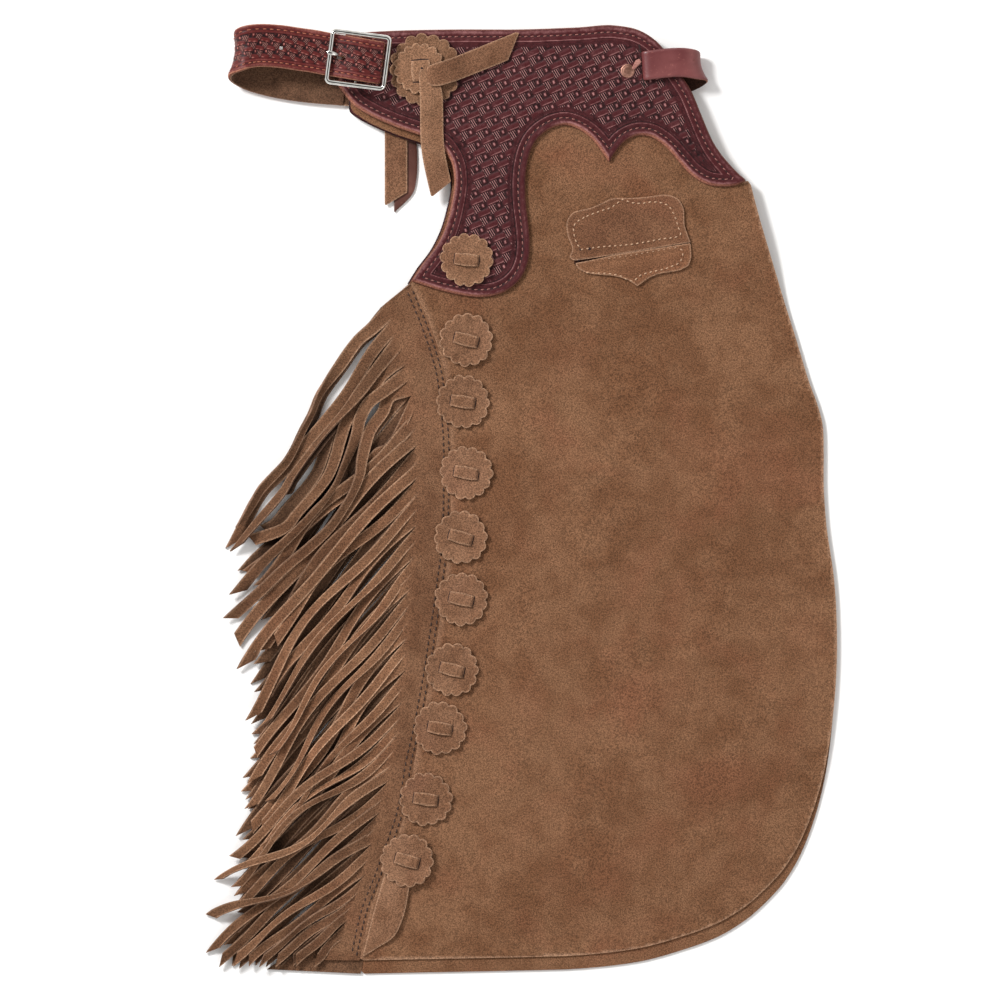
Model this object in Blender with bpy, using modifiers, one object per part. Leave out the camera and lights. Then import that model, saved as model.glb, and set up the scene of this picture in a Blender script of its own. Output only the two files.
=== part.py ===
"""Western fringed chaps, folded in half along the front and laid flat.

The near leg lies on the far leg. +X runs to the front edge, +Y to the waist and +Z up from the
surface that the chaps rest on. Tables are in millimetres, and the model is in metres.
"""

import math
import random
from collections import namedtuple

import bmesh
import bpy
from mathutils import Matrix, Vector
from mathutils.geometry import interpolate_bezier

MM = 0.001
GAP = 0.3  # between sewn or stacked pieces

# Leather thicknesses
SUEDE = 1.6
FAR_FRINGE_SUEDE = 1.4
YOKE_LEATHER = 3.2
LACE = 1.3
THONG = 1.4
BILLET_LEATHER = 3.0
BILLET_LINING = 1.2
STRAP_LEATHER = 2.6
CHAPE_LEATHER = 1.2

# Widths
BILLET_WIDTH = 39.0
STRAP_WIDTH = 26.5
THONG_WIDTH = 21.0
LACE_WIDTH = 10.0
YOKE_BORDER = 12.0
YOKE_FIELD_DEPTH = 0.5
LINING_INSET = 1.5
LINING_NARROWER = 1.0

# The stack, from the surface up. In the yoke zone the whole leg lies higher by LIFT, because the
# far yoke and the thongs are under it, and one straight ramp brings it down to the surface.
FAR_THONG_UNDER = 0.2
FAR_THONG_OVER = FAR_THONG_UNDER + THONG + GAP
FAR_YOKE_LEVEL = FAR_THONG_OVER + THONG + GAP
LIFT = FAR_YOKE_LEVEL + YOKE_LEATHER + GAP
FAR_PANEL_LEVEL = 0.0
NEAR_PANEL_LEVEL = FAR_PANEL_LEVEL + SUEDE + GAP
ON_PANEL_LEVEL = NEAR_PANEL_LEVEL + SUEDE + GAP
NEAR_YOKE_LEVEL = ON_PANEL_LEVEL
ON_YOKE_LEVEL = NEAR_YOKE_LEVEL + LIFT + YOKE_LEATHER + GAP

RAMP_TOP = Vector((-39.0, 174.0))
RAMP_DOWN = Vector((0.30, -1.0)).normalized()
RAMP_WIDTH = 90.0
RAMP_STEPS = 6

# How far the far leg has slipped out from under the near one, from the waist down
Slip = namedtuple("Slip", "y aside down")
FAR_SLIPS = [
    Slip(430.0, -2.0, 7.2),
    Slip(330.0, -2.5, 7.2),
    Slip(240.0, -4.5, 2.5),
    Slip(60.0, -3.0, 6.0),
    Slip(-422.0, 0.9, 12.3),
]
NEAR_HEM_Y = -422.0
FAR_HEM_Y = -431.6

# Heights that a cutter spans: through the belt's upper pieces, or through a rosette
CUT_THROUGH = (12.0, 40.0)
SLOT_THROUGH = (0.0, 30.0)
CUT_PAST = 1.0  # how far a cutter of the yoke goes past its faces

# How far apart the points are along each outline
YOKE_STEP = 11.0
WAIST_STEP = 16.0
FRONT_STEP = 22.0
SEAM_STEP = 10.0
FRINGE_SEAM_STEP = 8.0
CUT_LINE_STEP = 6.0
TAIL_STEP = 14.0
THONG_STEP = 20.0
POCKET_STEP = 9.0

Knot = namedtuple("Knot", "x y turn")

# The yoke's back and waist edge, from the tip of its lower tongue round to its front tip
YOKE_BACK = [
    Knot(-101.5, 199.0, "corner"),
    Knot(-91.5, 214.5, "round"),
    Knot(-80.0, 229.5, "round"),
    Knot(-70.5, 249.0, "round"),
    Knot(-65.0, 271.0, "round"),
    Knot(-62.5, 291.0, "round"),
    Knot(-65.0, 307.0, "round"),
    Knot(-73.0, 320.5, "round"),
    Knot(-89.0, 330.5, "round"),
    Knot(-112.0, 338.5, "round"),
    Knot(-137.5, 349.5, "round"),
    Knot(-155.0, 360.5, "round"),
]
NEAR_YOKE_END = [
    Knot(-165.0, 372.5, "round"),
    Knot(-169.0, 378.0, "corner"),
    Knot(-161.5, 425.5, "corner"),
]
FAR_YOKE_END = [
    Knot(-156.5, 367.5, "corner"),
    Knot(-154.0, 425.5, "corner"),
]
YOKE_WAIST = [
    Knot(-112.0, 428.0, "round"),
    Knot(-57.0, 429.0, "round"),
    Knot(-2.5, 429.0, "round"),
    Knot(52.5, 431.0, "round"),
    Knot(80.0, 433.0, "round"),
    Knot(103.0, 429.5, "round"),
    Knot(113.0, 425.0, "round"),
    Knot(122.0, 418.5, "round"),
    Knot(129.5, 410.5, "round"),
    Knot(139.5, 395.0, "round"),
    Knot(153.5, 374.0, "round"),
    Knot(162.5, 353.0, "round"),
    Knot(174.5, 325.5, "round"),
    Knot(185.5, 310.0, "round"),
    Knot(195.5, 299.0, "round"),
    Knot(204.5, 291.0, "corner"),
]
# The yoke's shaped lower edge, from its front tip back to the tongue
YOKE_LOBES = [
    Knot(194.5, 286.5, "round"),
    Knot(180.5, 285.5, "round"),
    Knot(167.0, 288.0, "round"),
    Knot(153.5, 296.5, "round"),
    Knot(142.5, 308.5, "round"),
    Knot(130.5, 322.0, "round"),
    Knot(116.5, 331.0, "round"),
    Knot(105.0, 332.0, "round"),
    Knot(93.0, 326.5, "round"),
    Knot(84.5, 316.5, "round"),
    Knot(79.0, 307.5, "corner"),
    Knot(73.5, 315.5, "round"),
    Knot(61.0, 331.0, "round"),
    Knot(40.5, 341.5, "round"),
    Knot(21.5, 336.0, "round"),
    Knot(9.5, 323.0, "round"),
    Knot(3.5, 301.0, "round"),
    Knot(3.0, 273.5, "round"),
    Knot(6.0, 246.0, "round"),
    Knot(6.5, 226.0, "round"),
    Knot(0.5, 205.0, "round"),
    Knot(-16.0, 189.5, "round"),
    Knot(-39.0, 184.5, "round"),
    Knot(-71.0, 189.5, "round"),
]
# The leg's front edge and hem, from the yoke's front tip down to the seam
LEG_FRONT_AND_HEM = [
    Knot(207.5, 291.0, "corner"),
    Knot(217.0, 255.5, "round"),
    Knot(228.0, 218.5, "round"),
    Knot(239.0, 182.0, "round"),
    Knot(250.5, 145.5, "round"),
    Knot(261.5, 109.0, "round"),
    Knot(269.5, 87.0, "round"),
    Knot(274.5, 68.0, "round"),
    Knot(275.5, 45.0, "round"),
    Knot(275.5, 13.0, "round"),
    Knot(278.5, -28.5, "round"),
    Knot(284.0, -65.0, "round"),
    Knot(287.0, -101.5, "round"),
    Knot(287.5, -147.5, "round"),
    Knot(284.5, -193.0, "round"),
    Knot(278.0, -239.0, "round"),
    Knot(268.0, -278.0, "round"),
    Knot(252.0, -317.5, "round"),
    Knot(233.5, -345.0, "round"),
    Knot(211.0, -367.0, "round"),
    Knot(180.5, -387.0, "round"),
    Knot(143.0, -401.0, "round"),
    Knot(105.5, -411.0, "round"),
    Knot(55.5, -417.0, "round"),
    Knot(7.0, -419.0, "round"),
    Knot(-66.5, -420.5, "round"),
    Knot(-149.0, -422.0, "corner"),
]
# The seam between leg and fringe, from the hem up to the yoke's tongue
SEAM = [
    Knot(-149.0, -422.0, "corner"),
    Knot(-139.5, -377.0, "round"),
    Knot(-128.5, -346.0, "round"),
    Knot(-117.5, -316.5, "round"),
    Knot(-107.5, -285.5, "round"),
    Knot(-95.5, -220.5, "round"),
    Knot(-86.5, -175.0, "round"),
    Knot(-78.0, -125.5, "round"),
    Knot(-72.5, -88.0, "round"),
    Knot(-68.0, -46.5, "round"),
    Knot(-65.5, -3.5, "round"),
    Knot(-65.5, 45.0, "round"),
    Knot(-67.5, 83.5, "round"),
    Knot(-72.5, 121.0, "round"),
    Knot(-84.5, 158.5, "round"),
    Knot(-96.0, 184.0, "round"),
    Knot(-103.0, 196.5, "corner"),
]
# Where the fringe's cuts begin, from the top down
FRINGE_CUT_LINE = [
    Knot(-125.5, 178.5, "corner"),
    Knot(-119.0, 168.0, "round"),
    Knot(-115.5, 152.0, "round"),
    Knot(-106.5, 129.0, "round"),
    Knot(-101.0, 90.5, "round"),
    Knot(-95.0, 54.0, "round"),
    Knot(-94.0, 17.5, "round"),
    Knot(-95.5, -28.5, "round"),
    Knot(-101.0, -78.5, "round"),
    Knot(-104.0, -129.0, "round"),
    Knot(-108.5, -184.0, "round"),
    Knot(-119.5, -248.0, "round"),
    Knot(-133.0, -298.5, "round"),
    Knot(-145.0, -348.5, "round"),
    Knot(-158.0, -380.5, "round"),
    Knot(-164.0, -408.0, "corner"),
]

# How the strands lie: the angle below the horizontal at root, middle and tip, and the length
Fall = namedtuple("Fall", "root_y root middle tip length")
NEAR_FALLS = [
    Fall(178.5, 40.0, 65.0, 58.0, 240.0),
    Fall(90.5, 42.0, 61.0, 49.0, 252.0),
    Fall(-1.0, 45.0, 55.0, 52.0, 248.0),
    Fall(-92.5, 46.0, 53.0, 57.0, 236.0),
    Fall(-184.0, 42.0, 44.0, 50.0, 213.0),
    Fall(-257.0, 42.0, 37.0, 42.0, 197.0),
    Fall(-321.0, 42.0, 38.0, 34.0, 182.0),
    Fall(-410.0, 43.0, 43.0, 42.0, 140.0),
]
FAR_FALLS = [
    Fall(178.5, 48.0, 60.0, 56.0, 212.0),
    Fall(-1.0, 46.0, 56.0, 52.0, 236.0),
    Fall(-184.0, 43.0, 48.0, 49.0, 212.0),
    Fall(-321.0, 40.0, 43.0, 44.0, 186.0),
    Fall(-410.0, 40.0, 41.0, 41.0, 120.0),
]
STRAND_PITCH = 14.75
STRAND_SLIT = 0.6
STRAND_WIDTH = 9.5
STRAND_SEGMENT = 36.0
STRAND_LENGTH_CHANGE = 11.0
STRAND_BEND = 0.45  # the share of a strand that lies before its middle angle
WALK_STEP = 2.0
# How one fringe lies: its strands in turn settle at a lane's height, over a run. The far one's are
# under the near one's roots for a delay, so they lie side by side there.
FringeLay = namedtuple("FringeLay", "falls lanes run delay level thickness hem_y stray seed")
FAR_LAY = FringeLay(
    FAR_FALLS, [0.3, 2.1], 45.0, 80.0, FAR_PANEL_LEVEL, FAR_FRINGE_SUEDE, FAR_HEM_Y, 2.2, 4
)
NEAR_LAY = FringeLay(
    NEAR_FALLS, [3.9, 7.7, 5.8, 9.6], 60.0, 0.0, NEAR_PANEL_LEVEL, SUEDE, NEAR_HEM_Y, 8.0, 9
)

POCKET_UPPER = [
    Knot(48.0, 218.0, "corner"),
    Knot(42.5, 221.0, "round"),
    Knot(45.5, 228.0, "round"),
    Knot(41.0, 241.5, "round"),
    Knot(40.5, 253.5, "corner"),
    Knot(46.0, 261.5, "round"),
    Knot(62.0, 266.0, "round"),
    Knot(82.0, 274.5, "corner"),
    Knot(107.5, 275.5, "round"),
    Knot(130.5, 278.0, "corner"),
    Knot(141.5, 274.5, "round"),
    Knot(147.0, 266.0, "round"),
    Knot(148.0, 250.5, "round"),
    Knot(153.5, 234.5, "corner"),
]
POCKET_LOWER = [
    Knot(48.0, 215.0, "corner"),
    Knot(153.5, 231.5, "corner"),
    Knot(154.0, 220.5, "round"),
    Knot(151.5, 213.0, "corner"),
    Knot(143.0, 209.0, "round"),
    Knot(126.0, 206.0, "round"),
    Knot(116.5, 202.5, "round"),
    Knot(105.0, 194.5, "corner"),
    Knot(96.5, 200.0, "round"),
    Knot(82.0, 204.0, "round"),
    Knot(62.0, 206.0, "round"),
    Knot(52.5, 209.5, "corner"),
]
LACE_TAIL = [
    Knot(-124.0, -336.0, "corner"),
    Knot(-102.0, -344.0, "corner"),
    Knot(-108.5, -380.5, "round"),
    Knot(-118.5, -401.0, "round"),
    Knot(-132.0, -410.0, "round"),
    Knot(-146.5, -419.0, "corner"),
    Knot(-136.0, -377.0, "round"),
]
FAR_THONG_OVER_OUTLINE = [
    Knot(-126.0, 352.0, "corner"),
    Knot(-105.5, 352.0, "corner"),
    Knot(-105.5, 280.5, "corner"),
    Knot(-126.0, 268.0, "corner"),
]
FAR_THONG_UNDER_OUTLINE = [
    Knot(-117.5, 350.0, "corner"),
    Knot(-98.0, 350.0, "corner"),
    Knot(-98.5, 284.5, "corner"),
    Knot(-117.5, 261.5, "corner"),
]

# Leg rosettes from the yoke down: centre, and how far the lace through them is turned
Rosette = namedtuple("Rosette", "x y lace_turn")
LEG_ROSETTES = [
    Rosette(-51.0, 218.5, -6.0),
    Rosette(-51.5, 145.5, -14.0),
    Rosette(-54.5, 89.0, -8.0),
    Rosette(-51.5, 24.0, -10.0),
    Rosette(-56.5, -35.0, -16.0),
    Rosette(-56.0, -91.5, -12.0),
    Rosette(-64.5, -156.0, -14.0),
    Rosette(-75.5, -209.5, -10.0),
    Rosette(-88.5, -274.5, -8.0),
    Rosette(-105.5, -330.5, -16.0),
]
ROSETTE_RADIUS = 24.6
ROSETTE_SCALLOPS = 14
ROSETTE_SCALLOP_DEPTH = 2.2
SCALLOP_POINTS = 3
LACE_LENGTH = 20.0
HIP_CENTRE_LARGE = (-88.8, 392.1)
HIP_RADIUS_LARGE = 33.4
HIP_CENTRE_SMALL = (-94.2, 393.0)
HIP_RADIUS_SMALL = 23.6
HIP_KNOT_CENTRE = (-93.0, 390.5)
HIP_KNOT_LENGTH = 15.0
HIP_KNOT_WIDTH = 18.0

# Routes of straps: the middle of the strap, and how far its width is turned from +Y
Route = namedtuple("Route", "x y z turn")
# The belt billet from its tip, under the buckle, round the loop and back under the far yoke
BILLET_TURN = -7.5
BILLET_ROUTE = [
    Route(-127.5, 397.8, 20.6, BILLET_TURN),
    Route(-138.0, 399.2, 23.0, BILLET_TURN),
    Route(-150.0, 401.3, 24.6, BILLET_TURN),
    Route(-163.0, 403.6, 22.6, BILLET_TURN),
    Route(-176.0, 405.8, 20.0, BILLET_TURN),
    Route(-190.0, 408.5, 20.4, BILLET_TURN),
    Route(-205.0, 410.6, 21.6, BILLET_TURN),
    Route(-222.0, 413.0, 23.2, BILLET_TURN),
    Route(-240.0, 413.8, 25.0, BILLET_TURN),
    Route(-251.0, 412.3, 25.7, BILLET_TURN),
    Route(-258.0, 409.4, 22.5, BILLET_TURN),
    Route(-262.0, 405.0, 14.8, BILLET_TURN),
    Route(-259.3, 400.0, 7.8, BILLET_TURN),
    Route(-252.0, 395.0, 4.0, BILLET_TURN),
    Route(-241.0, 390.7, 2.4, BILLET_TURN),
    Route(-225.0, 386.6, 1.8, BILLET_TURN),
    Route(-203.5, 383.0, 1.7, BILLET_TURN),
    Route(-180.5, 380.6, 1.7, BILLET_TURN),
    Route(-152.0, 378.6, 1.7, BILLET_TURN),
]
BILLET_LINING_ENDS_AT = -163.0
# The front connecting strap, out of its slit, round, and back under the far yoke
FRONT_STRAP_ROUTE = [
    Route(110.8, 395.6, 11.4, 4.0),
    Route(110.8, 395.6, 14.6, 4.0),
    Route(113.8, 395.9, 17.0, 4.0),
    Route(121.5, 396.8, 17.8, 3.0),
    Route(133.0, 398.2, 18.2, 1.0),
    Route(145.0, 398.6, 18.4, 3.0),
    Route(154.5, 397.6, 16.8, 7.0),
    Route(160.6, 396.0, 12.8, 11.0),
    Route(162.6, 394.0, 7.8, 15.0),
    Route(160.4, 390.8, 3.8, 22.0),
    Route(153.0, 386.6, 2.0, 28.0),
    Route(139.0, 380.9, 1.6, 30.0),
    Route(124.0, 372.3, 1.6, 30.0),
]
THONG_UP_ROUTE = [
    Route(-82.0, 388.2, 18.8, 4.0),
    Route(-72.0, 389.6, 18.6, 10.0),
    Route(-61.0, 392.8, 17.4, 18.0),
    Route(-50.0, 397.2, 15.9, 22.0),
    Route(-36.0, 402.8, 15.2, 22.0),
    Route(-20.0, 409.3, 15.1, 22.0),
    Route(2.0, 418.2, 15.1, 22.0),
]
THONG_DOWN_ROUTE = [
    Route(-83.1, 377.0, 18.8, 90.0),
    Route(-83.1, 367.0, 18.5, 90.0),
    Route(-83.1, 357.0, 17.3, 90.0),
    Route(-83.0, 345.0, 15.5, 90.0),
    Route(-82.8, 332.0, 15.2, 91.0),
    Route(-81.8, 319.0, 15.2, 95.0),
    Route(-79.6, 306.0, 14.2, 100.0),
    Route(-76.4, 291.5, 11.6, 101.0),
    Route(-73.0, 277.0, 8.6, 101.0),
]
# Where a thong is cut off: a point of the cut, and its direction
THONG_UP_END = ((-7.8, 414.2), (0.40, 1.0))
THONG_DOWN_END = ((-74.4, 283.0), (1.0, 0.80))
ROUTE_STEPS = 2
FRONT_STRAP_STRIPS = 4

# The buckle, in its own axes: along the belt and across it
BUCKLE_CENTRE = (-150.0, 400.7)
BUCKLE_TURN = -7.5
BUCKLE_LENGTH = 52.4
BUCKLE_WIDTH = 46.8
BUCKLE_CORNER = 3.6
BUCKLE_WIRE = 4.4
BUCKLE_LEVEL = 24.7
BUCKLE_CORNER_STEPS = 3
CENTRE_BAR_WIRE = 3.0
CENTRE_BAR_LEVEL = 17.4
CENTRE_BAR_BEND = 1.8
# The tongue hooks round the centre bar by these angles, and then runs along the belt
TONGUE_WIRE = 2.2
TONGUE_HOOK = (-150.0, -105.0, -60.0, -15.0, 30.0, 70.0)
TONGUE_REST = BUCKLE_LEVEL + BUCKLE_WIRE / 2.0 + GAP + TONGUE_WIRE / 2.0
Level = namedtuple("Level", "along z")
TONGUE_RUN = [
    Level(-4.0, 19.4),
    Level(-8.5, 18.5),
    Level(-12.5, 18.9),
    Level(-17.0, 22.6),
    Level(-21.0, 26.6),
    Level(-25.0, TONGUE_REST),
    Level(-29.0, TONGUE_REST + 0.1),
]
CHAPE_WIDTH = 32.0
CHAPE_LENGTH = 18.5
CHAPE_FOLD = (-95.0, -140.0, -185.0, -230.0, -275.0)
# Where the folded chape comes to lie flat, below and above, and its shoulder's place and rise
CHAPE_FLAT_BELOW = 8.0
CHAPE_FLAT_ABOVE = 9.5
CHAPE_SHOULDER = (5.5, 1.6)
CHAPE_SLOT = 8.0
CHAPE_SLOT_LENGTH = 14.0
TONGUE_SLOT_FROM = -21.5
TONGUE_SLOT_TO = -11.5
TONGUE_SLOT_WIDTH = 4.4
TONGUE_VEER = 0.11

RIVET_CENTRE = (96.0, 391.0)
RIVET_HEAD_RADIUS = 6.1
RIVET_HEAD_HEIGHT = 1.5
RIVET_SHANK_RADIUS = 2.0
RIVET_STEPS = 16
SLIT_CENTRE = (110.8, 395.6)
SLIT_WIDTH = 4.0
SLIT_LENGTH = 28.0
SLIT_TURN = 4.0
BILLET_HOLE_CENTRE = (-220.0, 411.5)
BILLET_HOLE_RADIUS = 2.2
HOLE_SIDES = 10

MATERIALS = {
    "suede": ((0.235, 0.115, 0.057), 0.95, 0.0),
    "suede_lining": ((0.160, 0.085, 0.040), 0.95, 0.0),
    "stamped_leather": ((0.085, 0.020, 0.020), 0.45, 0.0),
    "strap_leather": ((0.190, 0.045, 0.045), 0.40, 0.0),
    "nickel": ((0.80, 0.80, 0.78), 0.18, 1.0),
    "copper": ((0.75, 0.38, 0.26), 0.35, 1.0),
}


def clear_scene():
    for obj in list(bpy.data.objects):
        bpy.data.objects.remove(obj, do_unlink=True)


def new_collection(name):
    collection = bpy.data.collections.new(name)
    bpy.context.scene.collection.children.link(collection)
    return collection


def make_materials():
    made = {}
    for name, (colour, roughness, metallic) in MATERIALS.items():
        material = bpy.data.materials.new(name)
        material.use_nodes = True
        shader = material.node_tree.nodes["Principled BSDF"]
        shader.inputs["Base Color"].default_value = (*colour, 1.0)
        shader.inputs["Roughness"].default_value = roughness
        shader.inputs["Metallic"].default_value = metallic
        made[name] = material
    return made


clear_scene()
PARTS = new_collection("LeatherChaps")
CUTTERS = new_collection("Cutters")
MATERIAL = make_materials()


def add_object(name, bm, material, scale=MM):
    """A new part from a bmesh in millimetres."""
    bmesh.ops.scale(bm, vec=(scale, scale, scale), verts=bm.verts)
    mesh = bpy.data.meshes.new(name)
    bm.to_mesh(mesh)
    bm.free()
    obj = bpy.data.objects.new(name, mesh)
    mesh.materials.append(MATERIAL[material])
    PARTS.objects.link(obj)
    return obj


def add_cutter(name, bm):
    bmesh.ops.recalc_face_normals(bm, faces=bm.faces)
    bmesh.ops.scale(bm, vec=(MM, MM, MM), verts=bm.verts)
    mesh = bpy.data.meshes.new(name)
    bm.to_mesh(mesh)
    bm.free()
    obj = bpy.data.objects.new(name, mesh)
    CUTTERS.objects.link(obj)
    obj.hide_render = True
    obj.display_type = "WIRE"
    return obj


def solidify(obj, thickness, offset):
    modifier = obj.modifiers.new("Thickness", "SOLIDIFY")
    modifier.thickness = thickness * MM
    modifier.offset = offset
    modifier.use_even_offset = True
    return modifier


def cut(obj, cutter):
    modifier = obj.modifiers.new("Cut " + cutter.name, "BOOLEAN")
    modifier.operation = "DIFFERENCE"
    modifier.solver = "EXACT"
    modifier.object = cutter


def blend_in(share):
    """0 to 1, easing out and in."""
    share = min(max(share, 0.0), 1.0)
    return share * share * (3.0 - 2.0 * share)


def table_row(table, y):
    """The row of a table at a height, eased between its own rows, which go down."""
    for upper, lower in zip(table, table[1:]):
        if y >= lower[0]:
            share = blend_in((upper[0] - y) / (upper[0] - lower[0]))
            return type(upper)(*[a + (b - a) * share for a, b in zip(upper, lower)])
    return table[-1]


# Outlines -----------------------------------------------------------------------------------------


def tangent(knots, index, closed):
    """The direction of the line at a knot, or None where it has a corner or an end."""
    last = len(knots) - 1
    if knots[index].turn == "corner" or (not closed and index in (0, last)):
        return None
    before = knots[index - 1]
    after = knots[(index + 1) % len(knots)]
    return Vector((after.x - before.x, after.y - before.y)).normalized()


def smooth_line(knots, step, closed=False):
    """Points along a smooth line through the knots, about a step apart, with its corners kept."""
    points = []
    stretches = len(knots) if closed else len(knots) - 1
    for index in range(stretches):
        after = (index + 1) % len(knots)
        start = Vector((knots[index].x, knots[index].y))
        end = Vector((knots[after].x, knots[after].y))
        reach = (end - start).length / 3.0
        leaving = tangent(knots, index, closed)
        arriving = tangent(knots, after, closed)
        chord = (end - start).normalized()
        first = start + (leaving or chord) * reach
        second = end - (arriving or chord) * reach
        straight = leaving is None and arriving is None
        count = 1 if straight else max(1, round(3.0 * reach / step))
        stretch = interpolate_bezier(start, first, second, end, count + 1)
        points.extend(Vector(p[:2]) for p in stretch[:-1])
    if not closed:
        points.append(Vector((knots[-1].x, knots[-1].y)))
    return points


def moved_aside(points, distance):
    """An open line moved to its right by a distance, its corners mitred."""
    moved = []
    for index, point in enumerate(points):
        before = points[max(index - 1, 0)]
        after = points[min(index + 1, len(points) - 1)]
        arriving = (point - before).normalized() if index else (after - point).normalized()
        leaving = (after - point).normalized() if index < len(points) - 1 else arriving
        along = (arriving + leaving).normalized()
        aside = Vector((along.y, -along.x))
        mitre = max(along.dot(arriving), 0.5)
        moved.append(point + aside * (distance / mitre))
    return moved


def distance_to_outline(point, outline):
    nearest = math.inf
    for start, end in zip(outline, outline[1:] + outline[:1]):
        side = end - start
        share = (point - start).dot(side) / side.length_squared
        foot = start + side * min(max(share, 0.0), 1.0)
        nearest = min(nearest, (point - foot).length)
    return nearest


def inset_outline(outline, distance):
    """A clockwise outline moved in, without the points that land too near another stretch."""
    ring = [outline[-1]] + outline + [outline[0]]
    moved = moved_aside(ring, distance)[1:-1]
    return [p for p in moved if distance_to_outline(p, outline) > 0.97 * distance]


def slipped(points):
    """A line of the near leg, moved to where the far leg has it."""
    moved = []
    for point in points:
        slip = table_row(FAR_SLIPS, point.y)
        moved.append(Vector((point.x + slip.aside, point.y - slip.down)))
    return moved


def yoke_outline(end_knots):
    knots = YOKE_BACK + end_knots + YOKE_WAIST + YOKE_LOBES
    return smooth_line(knots, YOKE_STEP, closed=True)


def leg_outline(end_knots):
    waist = smooth_line(YOKE_BACK + end_knots + YOKE_WAIST, WAIST_STEP)
    front_and_hem = smooth_line(LEG_FRONT_AND_HEM, FRONT_STEP)
    seam = smooth_line(SEAM, SEAM_STEP)
    return moved_aside(waist, LINING_INSET) + front_and_hem + seam[1:]


# Sheets that lie on each other --------------------------------------------------------------------


def ramp_share(step):
    """How much of LIFT is left at a step of the ramp."""
    return 1.0 - blend_in(step / RAMP_STEPS)


def rise(point):
    """The height of the lying leg at a point, straight between the ramp's steps."""
    down = (Vector((point.x, point.y)) - RAMP_TOP).dot(RAMP_DOWN)
    steps = min(max(down / RAMP_WIDTH, 0.0), 1.0) * RAMP_STEPS
    step = min(int(steps), RAMP_STEPS - 1)
    here = ramp_share(step)
    below = ramp_share(step + 1)
    return LIFT * (here + (below - here) * (steps - step))


def split_at_ramp(bm):
    for step in range(RAMP_STEPS + 1):
        line = RAMP_TOP + RAMP_DOWN * (RAMP_WIDTH * step / RAMP_STEPS)
        bmesh.ops.bisect_plane(
            bm,
            geom=bm.verts[:] + bm.edges[:] + bm.faces[:],
            dist=1e-4,
            plane_co=(line.x, line.y, 0.0),
            plane_no=(RAMP_DOWN.x, RAMP_DOWN.y, 0.0),
        )


def outline_face(outline):
    bm = bmesh.new()
    face = bm.faces.new([bm.verts.new((p.x, p.y, 0.0)) for p in outline])
    face.normal_update()
    if face.normal.z < 0.0:
        face.normal_flip()
    return bm


def lay_down(bm, level):
    """Splits a flat sheet where the ramp bends and lays it on what is below."""
    split_at_ramp(bm)
    for vert in bm.verts:
        vert.co.z += level + rise(vert.co)


def laid_sheet(name, outline, level, thickness, material):
    bm = outline_face(outline)
    lay_down(bm, level)
    obj = add_object(name, bm, material)
    solidify(obj, thickness, 1.0)
    return obj


def flat_sheet(name, outline, height, thickness, material):
    bm = outline_face(outline)
    bmesh.ops.translate(bm, vec=(0.0, 0.0, height), verts=bm.verts)
    obj = add_object(name, bm, material)
    solidify(obj, thickness, 1.0)
    return obj


def box_cutter(name, centre, size, turn, low, high):
    bm = bmesh.new()
    bmesh.ops.create_cube(bm, size=1.0)
    bmesh.ops.scale(bm, vec=(size[0], size[1], high - low), verts=bm.verts)
    place = Matrix.Translation((centre[0], centre[1], (low + high) / 2.0))
    bmesh.ops.transform(bm, matrix=place @ turned(turn), verts=bm.verts)
    return add_cutter(name, bm)


def round_cutter(name, centre, radius, sides, low, high):
    bm = bmesh.new()
    bmesh.ops.create_cone(
        bm, cap_ends=True, segments=sides, radius1=radius, radius2=radius, depth=high - low
    )
    bmesh.ops.translate(bm, vec=(centre[0], centre[1], (low + high) / 2.0), verts=bm.verts)
    return add_cutter(name, bm)


def turned(degrees):
    return Matrix.Rotation(math.radians(degrees), 4, "Z")


# Straps -------------------------------------------------------------------------------------------


def smooth_route(route, steps):
    """Rows along a smooth line through the route's own, with its turn between them."""
    rows = []
    for index in range(len(route) - 1):
        start, end = route[index], route[index + 1]
        before = route[max(index - 1, 0)]
        after = route[min(index + 2, len(route) - 1)]
        p0, p1 = Vector(start[:3]), Vector(end[:3])
        reach = (p1 - p0).length / 3.0
        first = p0 + (p1 - Vector(before[:3])).normalized() * reach
        second = p1 - (Vector(after[:3]) - p0).normalized() * reach
        points = interpolate_bezier(p0, first, second, p1, steps + 1)[:-1]
        for count, point in enumerate(points):
            turn = start.turn + (end.turn - start.turn) * count / steps
            rows.append((Vector(point), turn))
    rows.append((Vector(route[-1][:3]), route[-1].turn))
    return rows


def strap_frames(rows):
    """The middle, width direction and upper side of a strap at each row."""
    frames = []
    for index, (middle, turn) in enumerate(rows):
        before = rows[max(index - 1, 0)][0]
        after = rows[min(index + 1, len(rows) - 1)][0]
        along = (after - before).normalized()
        angle = math.radians(turn)
        across = Vector((-math.sin(angle), math.cos(angle), 0.0))
        across = (across - along * across.dot(along)).normalized()
        frames.append((middle, across, along.cross(across)))
    return frames


def strap_sheet(name, frames, width, material, aside=0.0, strips=1):
    """The middle surface of a strap in lengthwise strips, moved towards its upper side."""
    bm = bmesh.new()
    rows = []
    for middle, across, upper in frames:
        centre = middle + upper * aside
        places = [index / strips - 0.5 for index in range(strips + 1)]
        rows.append([bm.verts.new(centre + across * (width * k)) for k in places])
    for row, after in zip(rows, rows[1:]):
        for a, b, c, d in zip(row, row[1:], after, after[1:]):
            bm.faces.new((a, c, d, b))
    if strips > 1:
        # Both sides of a strap that twists then bend along the same lines
        bmesh.ops.triangulate(bm, faces=bm.faces[:])
    return add_object(name, bm, material)


def thong(name, route):
    frames = strap_frames(smooth_route(route, ROUTE_STEPS))
    obj = strap_sheet(name, frames, THONG_WIDTH, "suede")
    solidify(obj, THONG, 0.0)
    return obj


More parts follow.
